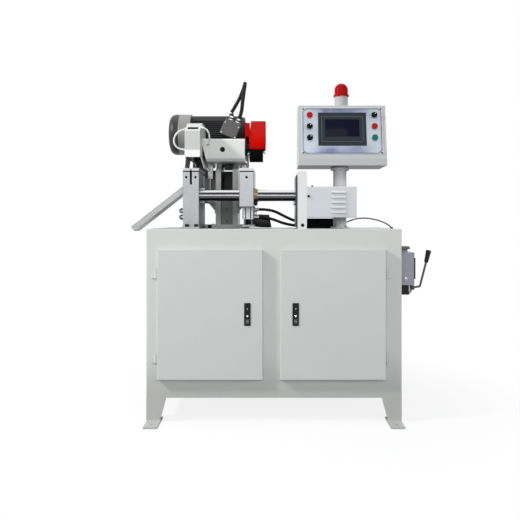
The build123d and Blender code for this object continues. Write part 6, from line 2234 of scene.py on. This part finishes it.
@dataclass(frozen=True)
class Studio:
    """The floor, the light and the camera of the photograph.

    Attributes:
        eye: The camera's place in metres.
        lens: Its focal length in millimetres.
        sensor: The width of its sensor in millimetres.
        shift: How far the frame is moved off the lens' axis, as shares of its width.
        sky: The linear colour of the light from all round.
        sky_power: The strength of that light.
        floor: Half the size of the floor in metres.
        floor_tone: The linear tone of the floor.
        fade: Where the floor starts and ends fading to white, in metres from the middle.
        pale: How far it is white near the object.
        lamps: The lamps.
    """

    eye: Point = (0.0, -3.35, 0.91)
    lens: float = 46.15
    sensor: float = 36.0
    shift: Pair = (-14.0 / 520.0, -40.0 / 520.0)
    sky: tuple[float, float, float, float] = (0.88, 0.95, 1.0, 1.0)
    sky_power: float = 0.25
    floor: float = 12.0
    floor_tone: Colour = (0.93, 0.93, 0.93)
    fade: Pair = (0.7, 1.5)
    pale: float = 0.85
    lamps: tuple[Lamp, ...] = (
        Lamp("key", (-3.6, -1.5, 3.3), 0.9, 0.5, 160.0),
        Lamp("fill", (3.0, -2.8, 2.4), 0.9, 1.0, 26.0),
        Lamp("front", (0.0, -4.2, 2.3), 1.3, 2.4, 52.0),
        Lamp("top", (0.0, 0.2, 4.0), 0.8, 2.6, 30.0),
        Lamp("back", (0.6, 4.2, 2.6), 0.9, 2.4, 26.0),
    )

    def camera(self) -> None:
        """Sets up the camera."""
        data = bpy.data.cameras.new("camera")
        data.lens = self.lens
        data.sensor_width = self.sensor
        data.shift_x, data.shift_y = self.shift
        made = put("camera", data)
        made.location = self.eye
        made.rotation_euler = (math.radians(90.0), 0.0, 0.0)
        bpy.context.scene.camera = made

    def world(self) -> None:
        """A soft grey world that cameras, reflections and glass see as white."""
        graph = Graph(bpy.data.worlds.new("studio"))
        bpy.context.scene.world = graph.owner
        soft = graph.node("ShaderNodeBackground", None, {"Color": self.sky, "Strength": self.sky_power})
        white = graph.node("ShaderNodeBackground", None, {"Color": WHITE, "Strength": 1.0})
        both = graph.node("ShaderNodeMixShader", None, {0: graph.seen(), 1: soft, 2: white})
        graph.node("ShaderNodeOutputWorld", None, {"Surface": both})

    def floor_look(self, graph: Graph) -> bpy.types.Material:
        """A pale floor that fades to white away from the object and keeps its shadow.

        Args:
            graph: The material's graph.

        Returns:
            The material.
        """
        x, y, _ = graph.parts()
        seen = graph.seen()
        away = ((x**2.0 + y**2.0) ** 0.5).smooth(*self.fade)
        tone = (0.985 + graph.noise(Pattern.FLOOR) * 0.015) * (0.5 + seen * 0.5)
        matt = graph.node("ShaderNodeBsdfDiffuse", None, {"Color": graph.shade(self.floor_tone, tone)})
        white = graph.node("ShaderNodeEmission", None, {"Strength": 1.0})
        lit = seen * (self.pale + away * (1.0 - self.pale))
        both = graph.node("ShaderNodeMixShader", None, {0: lit, 1: matt, 2: white})
        graph.node("ShaderNodeOutputMaterial", None, {"Surface": both})
        return graph.owner

    def ground(self) -> None:
        """The pale floor that keeps the shadow."""
        part = bmesh.new()
        bmesh.ops.create_grid(part, x_segments=1, y_segments=1, size=self.floor)
        mesh = bpy.data.meshes.new("floor")
        part.to_mesh(mesh)
        part.free()
        mesh.materials.append(self.floor_look(Graph(bpy.data.materials.new("pale_floor"))))
        put("floor", mesh)

    def build(self) -> None:
        """Puts up the studio."""
        bpy.context.scene.view_settings.view_transform = "Standard"
        self.camera()
        self.world()
        self.ground()
        for lamp in self.lamps:
            lamp.build()
        log.info("studio ready")


def main() -> None:
    """Builds the studio, the hoses and the sub-assemblies in order."""
    logging.basicConfig(level=logging.INFO, format="%(message)s")
    Studio().build()
    for hose in HOSES:
        hose.build()
    for assembly in (Cabinet(), Vise(), Feed(), SawHead(), ControlPanel(), Lubricator(), Chute()):
        assembly.dress()
        assembly.build()


if __name__ == "__main__":
    main()
